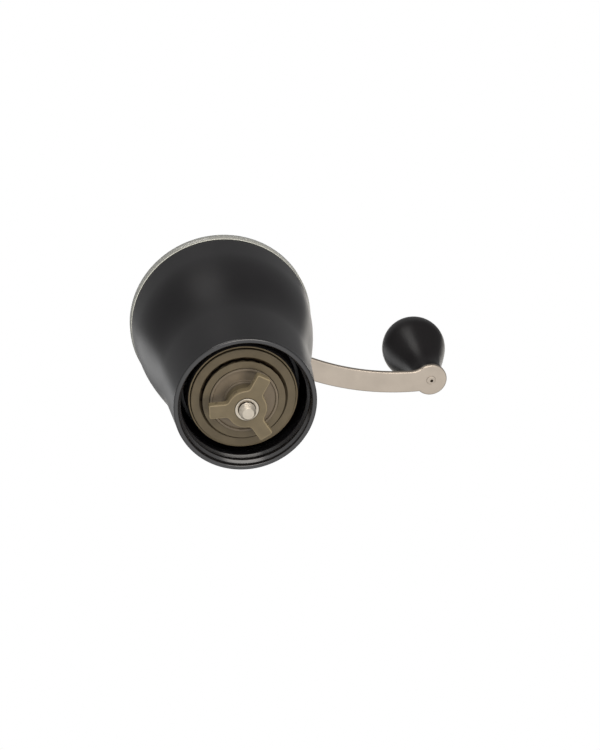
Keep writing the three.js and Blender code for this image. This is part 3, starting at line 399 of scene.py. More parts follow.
def moulded_nylon_olive(colour):
    """Olive glass-filled nylon, moulded: a dull even skin with short pale fibres just under it,
    and a painted highlight that makes the rounded edges of its plates paler."""
    material, place, _, base = clouded("Glass-filled nylon, moulded olive", colour, 5, 4.0,
                                       0.9, 1.1)
    # Painted highlight: paler colour on the rounded edges of cut plates
    corners = add_node(material, "ShaderNodeAttribute", settings={"attribute_name": PAINTED_EDGE_LIGHT})
    edge_lightened = add_node(material, "ShaderNodeMix",
                    {"Factor": corners.outputs["Fac"], "A": base, "B": opaque(colour, 1.7)},
                    {"data_type": "RGBA"})
    # Glass fibres are about 0.3 mm long
    fibres = add_node(material, "ShaderNodeTexNoise",
                      {"Vector": place, "Scale": per_mm(0.3), "Detail": 2.0,
                       "Distortion": 1.5}).outputs["Fac"]
    return finished(material, {"Base Color": edge_lightened.outputs["Result"], "IOR": 1.53,
                               "Specular IOR Level": 0.4},
                    rough=(fibres, 0.42, 0.58), dents=(fibres, 0.3, 0.015))


def fired_ceramic(colour):
    """Olive-grey ceramic, pressed and fired: a matt stony skin with fine dark and pale grains.
    Above a height, deep in the gap between the burrs, painted shade browns its teeth."""
    material, place, _, base = clouded("Alumina ceramic, fired unglazed", colour, 7, 3.0,
                                       0.9, 1.12)
    # Pressed grains are about 0.1 mm; they are drawn 0.4 mm wide so that they show
    grain = add_node(material, "ShaderNodeTexNoise",
                     {"Vector": place, "Scale": per_mm(0.4), "Detail": 4.0}).outputs["Fac"]
    specks = add_node(material, "ShaderNodeValToRGB", {"Fac": grain},
                      stops=[(0.35, (0.7, 0.7, 0.7, 1)), (0.6, (1, 1, 1, 1))])
    multiply = {"data_type": "RGBA", "blend_type": "MULTIPLY"}
    speckled = add_node(material, "ShaderNodeMix",
                        {"Factor": 0.35, "A": base, "B": specks.outputs["Color"]}, multiply)
    # Painted shade: brown multiplied over the teeth above a height, deep in the burrs' gap
    height = add_node(material, "ShaderNodeSeparateXYZ", {"Vector": place}).outputs["Z"]
    inside = add_node(material, "ShaderNodeMapRange",
                      {"Value": height, "From Min": GAP_SHADE_FROM * MM, "From Max": GAP_SHADE_TO * MM})
    gap_shaded = add_node(material, "ShaderNodeMix",
                     {"Factor": inside.outputs["Result"], "A": speckled.outputs["Result"],
                      "B": opaque(linear(GAP_SHADE_BROWN))}, multiply)
    return finished(material, {"Base Color": gap_shaded.outputs["Result"], "Roughness": 0.6,
                               "IOR": 1.6, "Specular IOR Level": 0.35},
                    dents=(grain, 0.4, 0.02))


def smoked_san(colour, name="Smoked SAN, moulded clear", clear=0.9):
    """Smoked SAN, a clear moulded plastic: glossy, tinted where the eye looks along the wall."""
    material, place = new_material(name)
    ripple = add_node(material, "ShaderNodeTexNoise",
                      {"Vector": place, "Scale": per_mm(9), "Detail": 1.0}).outputs["Fac"]
    scuffs = add_node(material, "ShaderNodeTexNoise",
                      {"Vector": place, "Scale": per_mm(1.2), "Detail": 3.0}).outputs["Fac"]
    return finished(material, {"Base Color": opaque(colour), "IOR": 1.57,
                               "Transmission Weight": clear},
                    rough=(scuffs, 0.08, 0.18), dents=(ripple, 0.25, 0.05))


def rim_of_san(colour):
    """The same clear SAN at the lid's thick rim, which gathers light and looks milky grey."""
    return smoked_san(colour, "Smoked SAN, thick rim that gathers light", 0.6)


def tumbled_steel(colour):
    """Stainless strip, stamped and tumbled: a soft satin with the stones' fine marks, and a faint
    drawn grain along the strip."""
    material, place, _, base = clouded("Stainless steel, stamped and tumbled", colour, 11, 3.0,
                                       0.93, 1.05)
    # Tumbling marks are about 0.1 mm; they are drawn 0.3 mm wide so that they show
    marks = add_node(material, "ShaderNodeTexNoise",
                     {"Vector": place, "Scale": per_mm(0.3), "Detail": 3.0}).outputs["Fac"]
    drawn = add_node(material, "ShaderNodeMapping", {"Vector": place, "Scale": (0.04, 1, 1)})
    grain = add_node(material, "ShaderNodeTexNoise",
                     {"Vector": drawn.outputs["Vector"], "Scale": per_mm(0.45), "Detail": 2.0})
    height = add_node(material, "ShaderNodeMath", {0: marks, 1: grain.outputs["Fac"]},
                      {"operation": "ADD"})
    return finished(material, {"Base Color": base, "Metallic": 1.0},
                    rough=(marks, 0.34, 0.46), dents=(height.outputs["Value"], 0.3, 0.012))


def sleeve_shade_band(material, place, clean):
    """Colour of steel with painted shade, black between two heights, where it lies inside the
    sleeve's bore.
    """
    height = add_node(material, "ShaderNodeSeparateXYZ", {"Vector": place}).outputs["Z"]
    offset = add_node(material, "ShaderNodeMath", {0: height, 1: SLEEVE_SHADE_MIDDLE * MM},
                      {"operation": "SUBTRACT"})
    away = add_node(material, "ShaderNodeMath", {0: offset.outputs["Value"]},
                    {"operation": "ABSOLUTE"})
    inside = add_node(material, "ShaderNodeMapRange",
                      {"Value": away.outputs["Value"], "From Min": (SLEEVE_SHADE_REACH - 0.15) * MM,
                       "From Max": SLEEVE_SHADE_REACH * MM, "To Min": 1.0, "To Max": 0.0})
    return add_node(material, "ShaderNodeMix",
                    {"Factor": inside.outputs["Result"], "A": clean,
                     "B": opaque(linear(SLEEVE_SHADE_BLACK))}, {"data_type": "RGBA"}).outputs["Result"]


def turned_steel(colour, name="Stainless steel, turned bright", blur=0.2, oily=False):
    """Stainless bar, turned: bright, with the tool's fine rings round the bar."""
    material, place, tarnish, base = clouded(name, colour, 3, 3.0, 0.9, 1.05)
    # Painted shade: black between two heights, inside the knob's sleeve
    if oily:
        base = sleeve_shade_band(material, place, base)
    # Tool marks are about 0.08 mm apart; they are drawn 0.3 mm apart so that they show
    rings = add_node(material, "ShaderNodeTexWave",
                     {"Vector": place, "Scale": lines_scale(0.3), "Distortion": 0.6,
                      "Detail": 1.0},
                     {"wave_type": "RINGS", "rings_direction": "SPHERICAL"}).outputs["Fac"]
    return finished(material, {"Base Color": base, "Metallic": 1.0},
                    rough=(tarnish, blur, blur + 0.1), dents=(rings, 0.2, 0.01))


def sleeve_shaded_steel(colour):
    """The same turned bar, blurred by handling, and black with painted shade where its thread runs
    in the sleeve."""
    return turned_steel(colour, "Stainless steel, turned, oily thread", 0.34, oily=True)


def natural_nylon(colour):
    """Natural nylon, moulded: milky, waxy, a little light passes into it."""
    material, _, clouds, base = clouded("Natural nylon, moulded", colour, 4, 2.0, 0.92, 1.04)
    return finished(material, {"Base Color": base, "IOR": 1.53, "Subsurface Weight": 0.15,
                               "Subsurface Scale": 1.5 * MM}, rough=(clouds, 0.38, 0.5))


def moulded_rubber(colour):
    """Black rubber, moulded: dull, with a dusty bloom."""
    material, _, bloom, base = clouded("Silicone rubber, moulded matt", colour, 1.5, 4.0,
                                       0.85, 1.35)
    return finished(material, {"Base Color": base, "Roughness": 0.75, "IOR": 1.5,
                               "Specular IOR Level": 0.3}, dents=(bloom, 0.3, 0.03))


MATERIALS = {
    "black": moulded_abs,
    "neck": polished_abs,
    "grip": handled_abs,
    "olive": moulded_nylon_olive,
    "cup": moulded_nylon_olive,
    "ceramic": fired_ceramic,
    "clear": smoked_san,
    "lid_rim": rim_of_san,
    "satin": tumbled_steel,
    "bright": turned_steel,
    "oily": sleeve_shaded_steel,
    "nylon": natural_nylon,
    "rubber": moulded_rubber,
}
MADE = {}


def finish_of(key):
    """The material of a finish, made the first time that it is asked for."""
    if key not in MADE:
        MADE[key] = MATERIALS[key](getattr(bpy.context.scene.mill_colours, key))
    return MADE[key]


# Meshes

def arc_round(before, corner, after, radius, steps):
    """Points of an arc that rounds a corner of a line, with its ends on the two sides."""
    corner = Vector(corner)
    back = Vector(before) - corner
    ahead = Vector(after) - corner
    turn = math.pi - back.angle(ahead)
    if turn < 1e-3:
        return [corner]
    reach = min(radius * math.tan(turn / 2), 0.49 * back.length, 0.49 * ahead.length)
    start = corner + back.normalized() * reach
    end = corner + ahead.normalized() * reach
    weight = math.cos(turn / 2)
    points = []
    for i in range(steps + 1):
        t = i / steps
        ends = (1 - t) ** 2, t ** 2
        middle = 2 * weight * t * (1 - t)
        points.append((start * ends[0] + corner * middle + end * ends[1]) / (sum(ends) + middle))
    return points


def rounded(profile, open_ends=False, steps=4):
    """A profile's points, with an arc at each corner that is given as (radius, height, round)."""
    points = []
    last = len(profile) - 1
    for i, corner in enumerate(profile):
        if len(corner) < 3 or (open_ends and i in (0, last)):
            points.append(Vector(corner[:2]))
        else:
            before = profile[i - 1][:2]
            after = profile[(i + 1) % len(profile)][:2]
            points.extend(arc_round(before, corner[:2], after, corner[2], steps))
    return points


def circle(radius, height, sides):
    """Points of a level circle about the shaft's axis."""
    return [
        (radius * math.cos(FULL_TURN * j / sides), radius * math.sin(FULL_TURN * j / sides), height)
        for j in range(sides)
    ]


def add_row(mesh, points):
    """A row of vertices at points in mm."""
    return [mesh.verts.new([part * MM for part in point]) for point in points]


def add_bands(mesh, pairs, closed=True):
    """Faces between pairs of rows of vertices, which go round if closed."""
    for low, high in pairs:
        count = len(low)
        for j in range(count if closed else count - 1):
            k = (j + 1) % count
            corners = []
            for vertex in (low[j], low[k], high[k], high[j]):
                if vertex not in corners:
                    corners.append(vertex)
            if len(corners) > 2:
                mesh.faces.new(corners)


def turned(profile, sides, axis_x=0.0, shape=None):
    """A mesh turned about a vertical axis from (radius, height, round) corners in mm. Its profile
    closes on itself unless it starts and ends on the axis. Shape may move each point."""
    on_axis = profile[0][0] == 0 and profile[-1][0] == 0
    mesh = bmesh.new()
    rings = []
    for radius, height in rounded(profile, open_ends=on_axis):
        if radius < 1e-6:
            rings.append(add_row(mesh, [(axis_x, 0, height)]) * sides)
            continue
        points = circle(radius, height, sides)
        if shape:
            points = [shape(*point) for point in points]
        rings.append(add_row(mesh, [(axis_x + x, y, z) for x, y, z in points]))
    pairs = list(zip(rings, rings[1:]))
    if not on_axis:
        pairs.append((rings[-1], rings[0]))
    add_bands(mesh, pairs)
    return mesh


def ring_mesh(rings):
    """A closed mesh through rings that all have the same number of points."""
    mesh = bmesh.new()
    rows = [add_row(mesh, ring) for ring in rings]
    add_bands(mesh, list(zip(rows, rows[1:] + rows[:1])))
    return mesh


def mitred(loop, inset):
    """A closed outline moved inwards, for one that runs anticlockwise, by a distance."""
    moved = []
    for i, point in enumerate(loop):
        back = (point - loop[i - 1]).normalized()
        ahead = (loop[(i + 1) % len(loop)] - point).normalized()
        normal = Vector((-back.y - ahead.y, back.x + ahead.x)).normalized()
        widen = max(normal.dot(Vector((-back.y, back.x))), 0.5)
        moved.append(point + normal * (inset / widen))
    return moved


def round_levels(low, high, edge, steps):
    """Insets and heights that round the lower and upper edge of a plate's side."""
    levels = []
    for i in range(steps + 1):
        angle = math.pi / 2 * i / steps
        levels.append((edge * (1 - math.sin(angle)), low + edge * (1 - math.cos(angle))))
    return levels + [(inset, high + low - height) for inset, height in reversed(levels)]


def cut_plate(outline, holes, low, high, edge, steps=4, hole_edge=0.15):
    """A flat piece cut to an anticlockwise outline with clockwise holes, its edges rounded."""
    mesh = bmesh.new()
    rubbed = mesh.verts.layers.float.new(PAINTED_EDGE_LIGHT)
    caps = {0: [], 2 * steps + 1: []}
    for loop in [outline, *holes]:
        rows = []
        levels = round_levels(low, high, edge if loop is outline else hole_edge, steps)
        for level, (inset, height) in enumerate(levels):
            row = add_row(mesh, [(point.x, point.y, height) for point in mitred(loop, inset)])
            # The outline's rounded sides get the painted edge highlight
            if level not in caps and loop is outline:
                for vertex in row:
                    vertex[rubbed] = 1
            rows.append(row)
        add_bands(mesh, list(zip(rows, rows[1:])))
        for level in caps:
            caps[level].append(rows[level])
    for rows in caps.values():
        corners = [vertex for row in rows for vertex in row]
        for triple in tessellate_polygon([[vertex.co for vertex in row] for row in rows]):
            mesh.faces.new([corners[k] for k in triple])
    return mesh


def arc(centre, radius, start, end, steps):
    """Points of an arc in the plane, from one angle to another."""
    return [
        Vector((centre[0] + radius * math.cos(lerp(start, end, i / steps)),
                centre[1] + radius * math.sin(lerp(start, end, i / steps))))
        for i in range(steps + 1)
    ]


def without_doubles(points):
    """The points of a closed line, without those that repeat the one before."""
    return [p for i, p in enumerate(points) if (p - points[i - 1]).length > 1e-3]


def mesh_data(name, mesh):
    """Data with the faces of a mesh, which is given up for it."""
    data = bpy.data.meshes.new(name)
    mesh.to_mesh(data)
    mesh.free()
    return data


def merged(*meshes):
    """One mesh that holds several closed bodies."""
    whole = bmesh.new()
    for part in meshes:
        holder = mesh_data("holder", part)
        whole.from_mesh(holder)
        bpy.data.meshes.remove(holder)
    return whole


def placed(name, data):
    """A new object in the scene."""
    made = bpy.data.objects.new(name, data)
    bpy.context.scene.collection.objects.link(made)
    return made


def piece(name, mesh, sharp=32):
    """Makes a mesh into a piece that rides on a body and stands for CAD nodes."""
    body, slot, finish, replaced = PIECES[name]
    bmesh.ops.recalc_face_normals(mesh, faces=mesh.faces)
    data = mesh_data(name, mesh)
    data.shade_smooth()
    data.set_sharp_from_angle(angle=math.radians(sharp))
    data.materials.append(finish_of(finish))
    made = placed(name, data)
    even = made.modifiers.new("even_shading", "WEIGHTED_NORMAL")
    even.keep_sharp = True
    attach(made, body)
    if replaced:
        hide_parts(*replaced)
    return made


def lathe(name, profile, sides, axis_x=0.0, shape=None):
    """A piece that is turned about a vertical axis."""
    return piece(name, turned(profile, sides, axis_x, shape))


def flat_ring(name, bore, rounds, axis_x=0.0):
    """A flat ring as large as the CAD node that it stands for, its four edges softened."""
    outer, low, high = span(PIECES[name][3][0])
    profile = list(zip((bore, outer, outer, bore), (low, low, high, high), rounds))
    lathe(name, profile, SMALL_SIDES, axis_x)


def second_finish(made, finish, chosen):
    """Gives a finish to the faces that are chosen by their middle's radius and height in mm."""
    made.data.materials.append(finish_of(finish))
    for face in made.data.polygons:
        middle = face.center / MM
        if chosen(math.hypot(middle.x, middle.y), middle.z):
            face.material_index = 1


def dress_node(node, finish, edge=0.0):
    """Gives a CAD node its material, and softens its edges where asked."""
    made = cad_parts[node]
    made.data.materials.clear()
    made.data.materials.append(finish_of(finish))
    if edge:
        bevel = made.modifiers.new("edges", "BEVEL")
        bevel.width = edge * MM
        bevel.segments = 3
        bevel.limit_method = "ANGLE"
        bevel.angle_limit = math.radians(40)


# Pieces

def between(start, end, steps):
    """Heights in even steps from one to another, without the two."""
    return [lerp(start, end, i / steps) for i in range(1, steps)]


def hopper_shell(sizes):
    """Bell-shaped shell with the neck for the jar, polished inside the neck and on its rim."""
    rim = sizes.rim_round / MM
    shoulder = span("hopper_floor")[2] - SHOULDER_DROP
    shoulder_radius = wall_radius(shoulder)
    profile = [(NECK_BORE_RADIUS, 0, INNER_RIM_ROUND), (bell_radius(rim), 0, rim)]
    profile += [(bell_radius(height), height) for height in between(rim, BODY_HEIGHT, 56)]
    profile += [(bell_radius(BODY_HEIGHT), BODY_HEIGHT, 0.5),
                (wall_radius(BODY_HEIGHT), BODY_HEIGHT, 0.5)]
    profile += [(wall_radius(height), height) for height in between(BODY_HEIGHT, shoulder, 24)]
    profile += [(shoulder_radius, shoulder),
                (shoulder_radius - SHOULDER_WIDTH, shoulder, 0.3),
                (NECK_BORE_RADIUS, NECK_BORE_DEPTH, 2)]
    shell = lathe("hopper_shell", profile, LARGE_SIDES)

    def polished(radius, height):
        return height < (NECK_BORE_DEPTH if radius < NECK_BORE_RADIUS + 0.2 else rim)

    second_finish(shell, "neck", polished)


def neck_thread(sizes):
    """Ridge of the jar's thread inside the neck, with a fillet at its foot and its ends run
    out."""
    depth = sizes.thread_depth / MM
    crest = sizes.thread_crest / MM / 2
    foot = crest + sizes.thread_flank / MM
    sunk = 0.2
    soft = 0.2
    fillet = 0.5
    run_out = 0.09
    steps_a_turn = 120
    section = [(-sunk, -foot - fillet), (0, -foot - fillet), (0.2, -foot),
               (depth * 0.85, -crest - soft), (depth, -crest + soft),
               (depth, crest - soft), (depth * 0.85, crest + soft), (0, foot), (-sunk, foot)]
    mesh = bmesh.new()
    rows = []
    for i in range(int(steps_a_turn * sizes.thread_turns) + 1):
        along = i / steps_a_turn
        rise = smoothstep(min(along, sizes.thread_turns - along) / run_out)
        angle = sizes.thread_start + FULL_TURN * along
        middle = (sizes.thread_low + sizes.thread_pitch * along) / MM
        points = []
        for reach, offset in section:
            radius = NECK_BORE_RADIUS - (reach if reach < 0 else max(reach * rise, 0.01))
            points.append((radius * math.cos(angle), radius * math.sin(angle),
                           middle + offset * lerp(0.6, 1, rise)))
        rows.append(add_row(mesh, points))
    add_bands(mesh, list(zip(rows, rows[1:])))
    mesh.faces.new(rows[0])
    mesh.faces.new(rows[-1])
    piece("neck_thread", mesh, sharp=50)


def hopper_floor():
    """Funnel floor with the throat, the support's ledge and the housing's collar."""
    _, low, high = span("hopper_floor")
    housing, _, housing_top = span("burr_housing")
    rim_z = high - FLOOR_RIM
    floor = housing_top + SEAT_GAP
    throat_top = floor + FLOOR_WALL
    ledge_z = throat_top + FUNNEL_SLOPE * (LEDGE_INNER_RADIUS - THROAT_RADIUS)
    rim = wall_radius(rim_z - SEAT_GAP) - SEAT_GAP
    collar = housing + SEAT_GAP
    lathe("hopper_funnel", [
        (rim, rim_z, 0.2),
        (rim, high, 0.3),
        (LEDGE_RADIUS, rim_z, 0.5),
        (LEDGE_RADIUS, ledge_z, 0.4),
        (LEDGE_INNER_RADIUS, ledge_z, 0.6),
        (THROAT_RADIUS, throat_top, 0.6),
        (THROAT_RADIUS, floor, 0.3),
        (collar, floor, 0.3),
        (collar, low, 0.3),
        (collar + COLLAR_WALL, low, 0.5),
        (collar + COLLAR_WALL, ledge_z - COLLAR_DROP, 1),
        (LEDGE_RADIUS + LEDGE_WALL, ledge_z - LEDGE_THICKNESS, 1),
        (rim - SHOULDER_WIDTH, rim_z, 0.3),
    ], LARGE_SIDES)


def burr_housing():
    """Cup that holds the outer burr, seen as a thin olive ring round it; above its lower lip it is
    painted black as shade.
    """
    outer, low, high = span("burr_housing")
    inner = OUTER_BURR_RADIUS + SEAT_GAP
    roof = high - HOUSING_ROOF
    cup = lathe("burr_housing_ring", [
        (inner, low, 0.15), (inner + HOUSING_LIP, low, 0.2),
        (outer, low + HOUSING_CHAMFER, 0.2), (outer, high, 0.5),
        (THROAT_RADIUS, high, 0.3), (THROAT_RADIUS, roof, 0.2), (inner, roof, 0.2),
    ], LARGE_SIDES)
    # Painted shade: black on all of the cup but its lower lip
    second_finish(cup, "black",
                  lambda radius, height: height > low + 0.5 and radius > inner + 0.5)


def cone_radius(share):
    """Radius over the inner burr's teeth at a share of its height."""
    share = min(max(share, 0), 1)
    for (start, r_start), (end, r_end) in zip(BURR_CONE, BURR_CONE[1:]):
        if share <= end:
            part = lerp(r_start, r_end, (share - start) / (end - start))
            return lerp(INNER_BURR_RADIUS, INNER_BURR_TOP_RADIUS, part)
    return INNER_BURR_TOP_RADIUS


def saw_tooth(turn, count):
    """Wave from 0 on a tooth's land to 1 at its root."""
    share = (turn * count) % 1
    root = 2 / 3
    return max(0, 2 * share / root - 1) if share < root else (1 - share) / (1 - root)


def profile_at(rows, share):
    """Values of a table of rows (share, ...) at a share between them."""
    for low, high in zip(rows, rows[1:]):
        if share <= high[0]:
            part = (share - low[0]) / (high[0] - low[0])
            return [lerp(a, b, part) for a, b in zip(low[1:], high[1:])]
    return rows[-1][1:]


def toothed(rows, low, high, steps, twist, sign, levels):
    """Rings of a toothed cone. Each row is (share, radius, tooth depth, flute depth), and the
    cuts go outwards or, for a sign of -1, inwards."""
    rings = []
    for i in range(levels + 1):
        share = i / levels
        radius, tooth, flute = profile_at(rows, share)
        ring = []
        for j in range(steps):
            turn = j / steps
            cut = tooth * saw_tooth(turn, BURR_TEETH) + flute * saw_tooth(turn, BURR_FLUTES)
            angle = FULL_TURN * (turn + twist * share / BURR_TEETH)
            r = radius + sign * cut
            ring.append((r * math.cos(angle), r * math.sin(angle), lerp(low, high, share)))
        rings.append(ring)
    return rings


def outer_burr(sizes):
    """Ring burr with helical teeth and feed flutes inside."""
    outer, low, high = span("outer_burr")
    inner_low = span("inner_burr")[1]
    steps = BURR_TEETH * sizes.tooth_sides
    edge = 0.35

    def beside(share, gap):
        return cone_radius((lerp(low, high, share) - inner_low) / INNER_BURR_HEIGHT) + gap

    rows = [
        (0, MOUTH_RADIUS, 0, 0),
        (0.025, MOUTH_RADIUS - 0.15, 0, 0),
        (0.1, beside(0.1, BURR_GAP), TOOTH_DEPTH, 0),
        (0.2, beside(0.2, BURR_GAP), TOOTH_DEPTH, 0),
        (0.26, beside(0.26, LAND_GAP), 0, 0),
        (0.31, beside(0.31, LAND_GAP + LAND_RIDGE), 0, 0),
        (0.36, beside(0.36, LAND_GAP), 0, 0),
        (0.5, beside(0.42, FEED_GAP), 0, FLUTE_DEPTH / 2),
        (0.7, beside(0.42, FEED_GAP), 0, FLUTE_DEPTH),
        (1, outer - FEED_MOUTH, 0, FLUTE_DEPTH / 2),
    ]
    teeth = toothed(rows, low, high, steps, -BURR_TWIST, 1, 40)
    levels = []
    for share in (0, 0.3, 0.7, 1):
        turn = math.pi / 2 * share
        levels.append((edge * (1 - math.sin(turn)), edge * (1 - math.cos(turn))))
    wall = [circle(outer - inset, low + rise, steps) for inset, rise in levels]
    wall += [circle(outer - inset, high - rise, steps) for inset, rise in reversed(levels)]
    piece("outer_burr_ring", ring_mesh(wall + teeth[::-1]))


def inner_burr(sizes):
    """Cone burr with fine teeth at its foot and feed flutes above."""
    _, low, high = span("inner_burr")
    steps = BURR_TEETH * sizes.tooth_sides
    # Each cut: share of the height, and shares of the land's ridge, the teeth and the flutes
    cuts = [(0, 0, 0, 0), (0.04, 0, 1, 0), (0.3, 0, 1, 0), (0.37, 0, 0, 0), (0.42, 1, 0, 0),
            (0.47, 0, 0, 0), (0.62, 0, 0, 0.7), (0.8, 0, 0, 1), (1, 0, 0, 0.4)]
    rows = [
        (share, cone_radius(share) + ridge * LAND_RIDGE, tooth * TOOTH_DEPTH,
         flute * FLUTE_DEPTH)
        for share, ridge, tooth, flute in cuts
    ]
    recess = span("burr_carrier")[0] + CARRIER_FIT
    recess_top = low - CARRIER_BELOW_BURR + CARRIER_THICKNESS + SEAT_GAP
    bore = CARRIER_HUB_RADIUS + SEAT_GAP
    edge = 0.12
    inside = [(bore, high), (bore, recess_top), (recess, recess_top), (recess, low + edge),
              (recess + edge, low)]
    rings = toothed(rows, low, high, steps, BURR_TWIST, -1, 50)
    rings += [circle(radius, height, steps) for radius, height in inside]
    piece("inner_burr_cone", ring_mesh(rings))


def burr_carrier():
    """Cupped disc under the inner burr, with the hub that runs up through it."""
    outer, boss_low, high = span("burr_carrier")
    low = boss_low + CARRIER_BOSS_DROP
    cup = low + CARRIER_CUP_DEPTH
    bore = THREAD_RADIUS + RUN_GAP
    burr_top = span("inner_burr")[2]
    lip = outer - 1
    lathe("burr_carrier_disc", [
        (bore, boss_low, 0.2),
        (CARRIER_BOSS_RADIUS, boss_low, 0.35),
        (CARRIER_BOSS_RADIUS, cup + 0.4, 0.25),
        (lip - 0.3, cup, 0.25),
        (lip, low, 0.15),
        (outer, low, 0.2),
        (outer, low + CARRIER_THICKNESS, 0.3),
        (CARRIER_HUB_RADIUS, low + CARRIER_THICKNESS, 0.4),
        (CARRIER_HUB_RADIUS, burr_top, 0.4),
        (CARRIER_STEM_RADIUS, burr_top, 0.3),
        (CARRIER_STEM_RADIUS, high, 0.4),
        (bore, high, 0.3),
    ], LARGE_SIDES)


def wing_outline(sizes):
    """Anticlockwise outline of the knob: round hub with parallel-sided wings."""
    half = sizes.wing_width / MM / 2
    root = sizes.wing_root_round / MM
    tip_round = sizes.wing_tip_round / MM
    root_angle = math.asin((half + root) / (KNOB_HUB_RADIUS + root))
    root_along = (KNOB_HUB_RADIUS + root) * math.cos(root_angle)
    tip = WING_TIP_RADIUS - tip_round
    side = half - tip_round
    rise = half + root
    quarter = math.pi / 2
    bends = [(root_along, -rise, root, math.pi - root_angle, quarter),
             (tip, -side, tip_round, -quarter, 0),
             (tip, side, tip_round, 0, quarter),
             (root_along, rise, root, -quarter, root_angle - math.pi)]
    points = []
    for k in range(WINGS):
        axis = FIRST_WING + FULL_TURN * k / WINGS
        for along, across, radius, start, end in bends:
            centre = (along * math.cos(axis) - across * math.sin(axis),
                      along * math.sin(axis) + across * math.cos(axis))
            points += arc(centre, radius, axis + start, axis + end, 8)
        next_root = axis + FULL_TURN / WINGS - root_angle
        points += arc((0, 0), KNOB_HUB_RADIUS, axis + root_angle, next_root, 16)
    return without_doubles(points)


def nub(along, across, height, turn, size):
    """A small pad with rounded sides, centred at a place along and across a direction."""
    mesh = bmesh.new()
    bmesh.ops.create_cube(mesh, size=1.0)
    bmesh.ops.bevel(mesh, geom=mesh.edges[:], offset=0.22, segments=3, affect="EDGES",
                    profile=0.5)
    mesh.transform(Matrix.Rotation(turn, 4, "Z")
                   @ Matrix.Translation(Vector((along, across, height)) * MM)
                   @ Matrix.Diagonal((*[side * MM for side in size], 1)))
    return mesh


def adjusting_knob(sizes):
    """Winged knob with its rear hub, click ribs and the small nubs on its sides."""
    _, face, top = span("adjusting_knob")
    bore = span("adjusting_insert")[0] + FIT_GAP
    plate_top = face + KNOB_PLATE
    hub_low = plate_top - 0.4
    hub_top = top - CLICK_RIB_RISE
    hole = arc((0, 0), bore, 0, -FULL_TURN, SMALL_SIDES)[:-1]
    parts = [
        cut_plate(wing_outline(sizes), [hole], face, plate_top, sizes.edge_round / MM),
        turned([(bore, hub_low, 0.1), (KNOB_REAR_RADIUS, hub_low, 0.1),
                (KNOB_REAR_RADIUS, hub_top, 0.4), (bore, hub_top, 0.2)], MEDIUM_SIDES),
    ]
    for k in range(CLICK_RIBS):
        turn = FULL_TURN * k / CLICK_RIBS
        parts.append(nub(CLICK_RIB_PLACE, 0, hub_top, turn, (2.4, 0.8, 1.0)))
    for k in range(WINGS):
        axis = FIRST_WING + FULL_TURN * k / WINGS
        for side in (-1, 1):
            parts.append(nub(NUB_PLACE, side * sizes.wing_width / MM / 2, face + NUB_RISE, axis,
                             (1.5, 0.9, 1.3)))
        parts.append(nub(KNOB_REAR_RADIUS, 0, face + NUB_RISE, axis + math.pi / WINGS,
                         (0.9, 1.8, 1.3)))
    piece("adjusting_wing_knob", merged(*parts))


def adjusting_insert(sizes):
    """Threaded metal sleeve in the knob, with a chamfered mouth and cut thread."""
    outer, low, high = span("adjusting_insert")
    crest = THREAD_RADIUS + RUN_GAP
    mouth = sizes.sleeve_chamfer / MM
    profile = [(crest + mouth, low, 0.1), (outer, low, 0.25), (outer, high, 0.1),
               (crest, high)]
    for k in range(int((high - low - mouth) / SHAFT_THREAD_PITCH)):
        z = high - 0.2 - SHAFT_THREAD_PITCH * k
        profile += [(crest, z), (crest + SLEEVE_GROOVE, z - SHAFT_THREAD_PITCH / 2),
                    (crest, z - SHAFT_THREAD_PITCH * 0.94)]
    profile.append((crest, low + mouth))
    lathe("adjusting_sleeve", profile, SMALL_SIDES)


def threaded_end(sizes, top):
    """The shaft's lower end, up to a height: a thread that runs out at both ends, flats above the
    sleeve's mouth and a chamfer."""
    low = span("drive_shaft")[1]
    flats_from = span("adjusting_insert")[1] + FLATS_ABOVE_SLEEVE
    depth = sizes.thread_cut / MM
    chamfer = sizes.end_chamfer / MM

    def thread(x, y, z):
        radius = math.hypot(x, y)
        turn = (z / SHAFT_THREAD_PITCH - math.atan2(y, x) / FULL_TURN) % 1
        cut = depth * abs(2 * turn - 1) ** 0.8
        fade = smoothstep((z - low) / 0.6) * smoothstep((SHAFT_THREAD_TOP - z) / 1.5)
        at_wall = smoothstep((radius - THREAD_RADIUS + 1.2) / 1.0)
        shrink = (radius - cut * fade * at_wall) / radius
        flat = lerp(FLATS_APART / 2, THREAD_RADIUS, smoothstep((flats_from - z) / 0.3))
        return min(max(x * shrink, -flat), flat), y * shrink, z

    foot = low + chamfer
    count = int((SHAFT_THREAD_TOP - low - chamfer) / THREAD_STEP)
    profile = [(0, low), (THREAD_RADIUS - chamfer, low, 0.15)]
    profile += [(THREAD_RADIUS, foot + THREAD_STEP * i) for i in range(count + 1)]
    profile += [(THREAD_RADIUS, top), (0, top)]
    return turned(profile, SMALL_SIDES * 2, shape=thread)


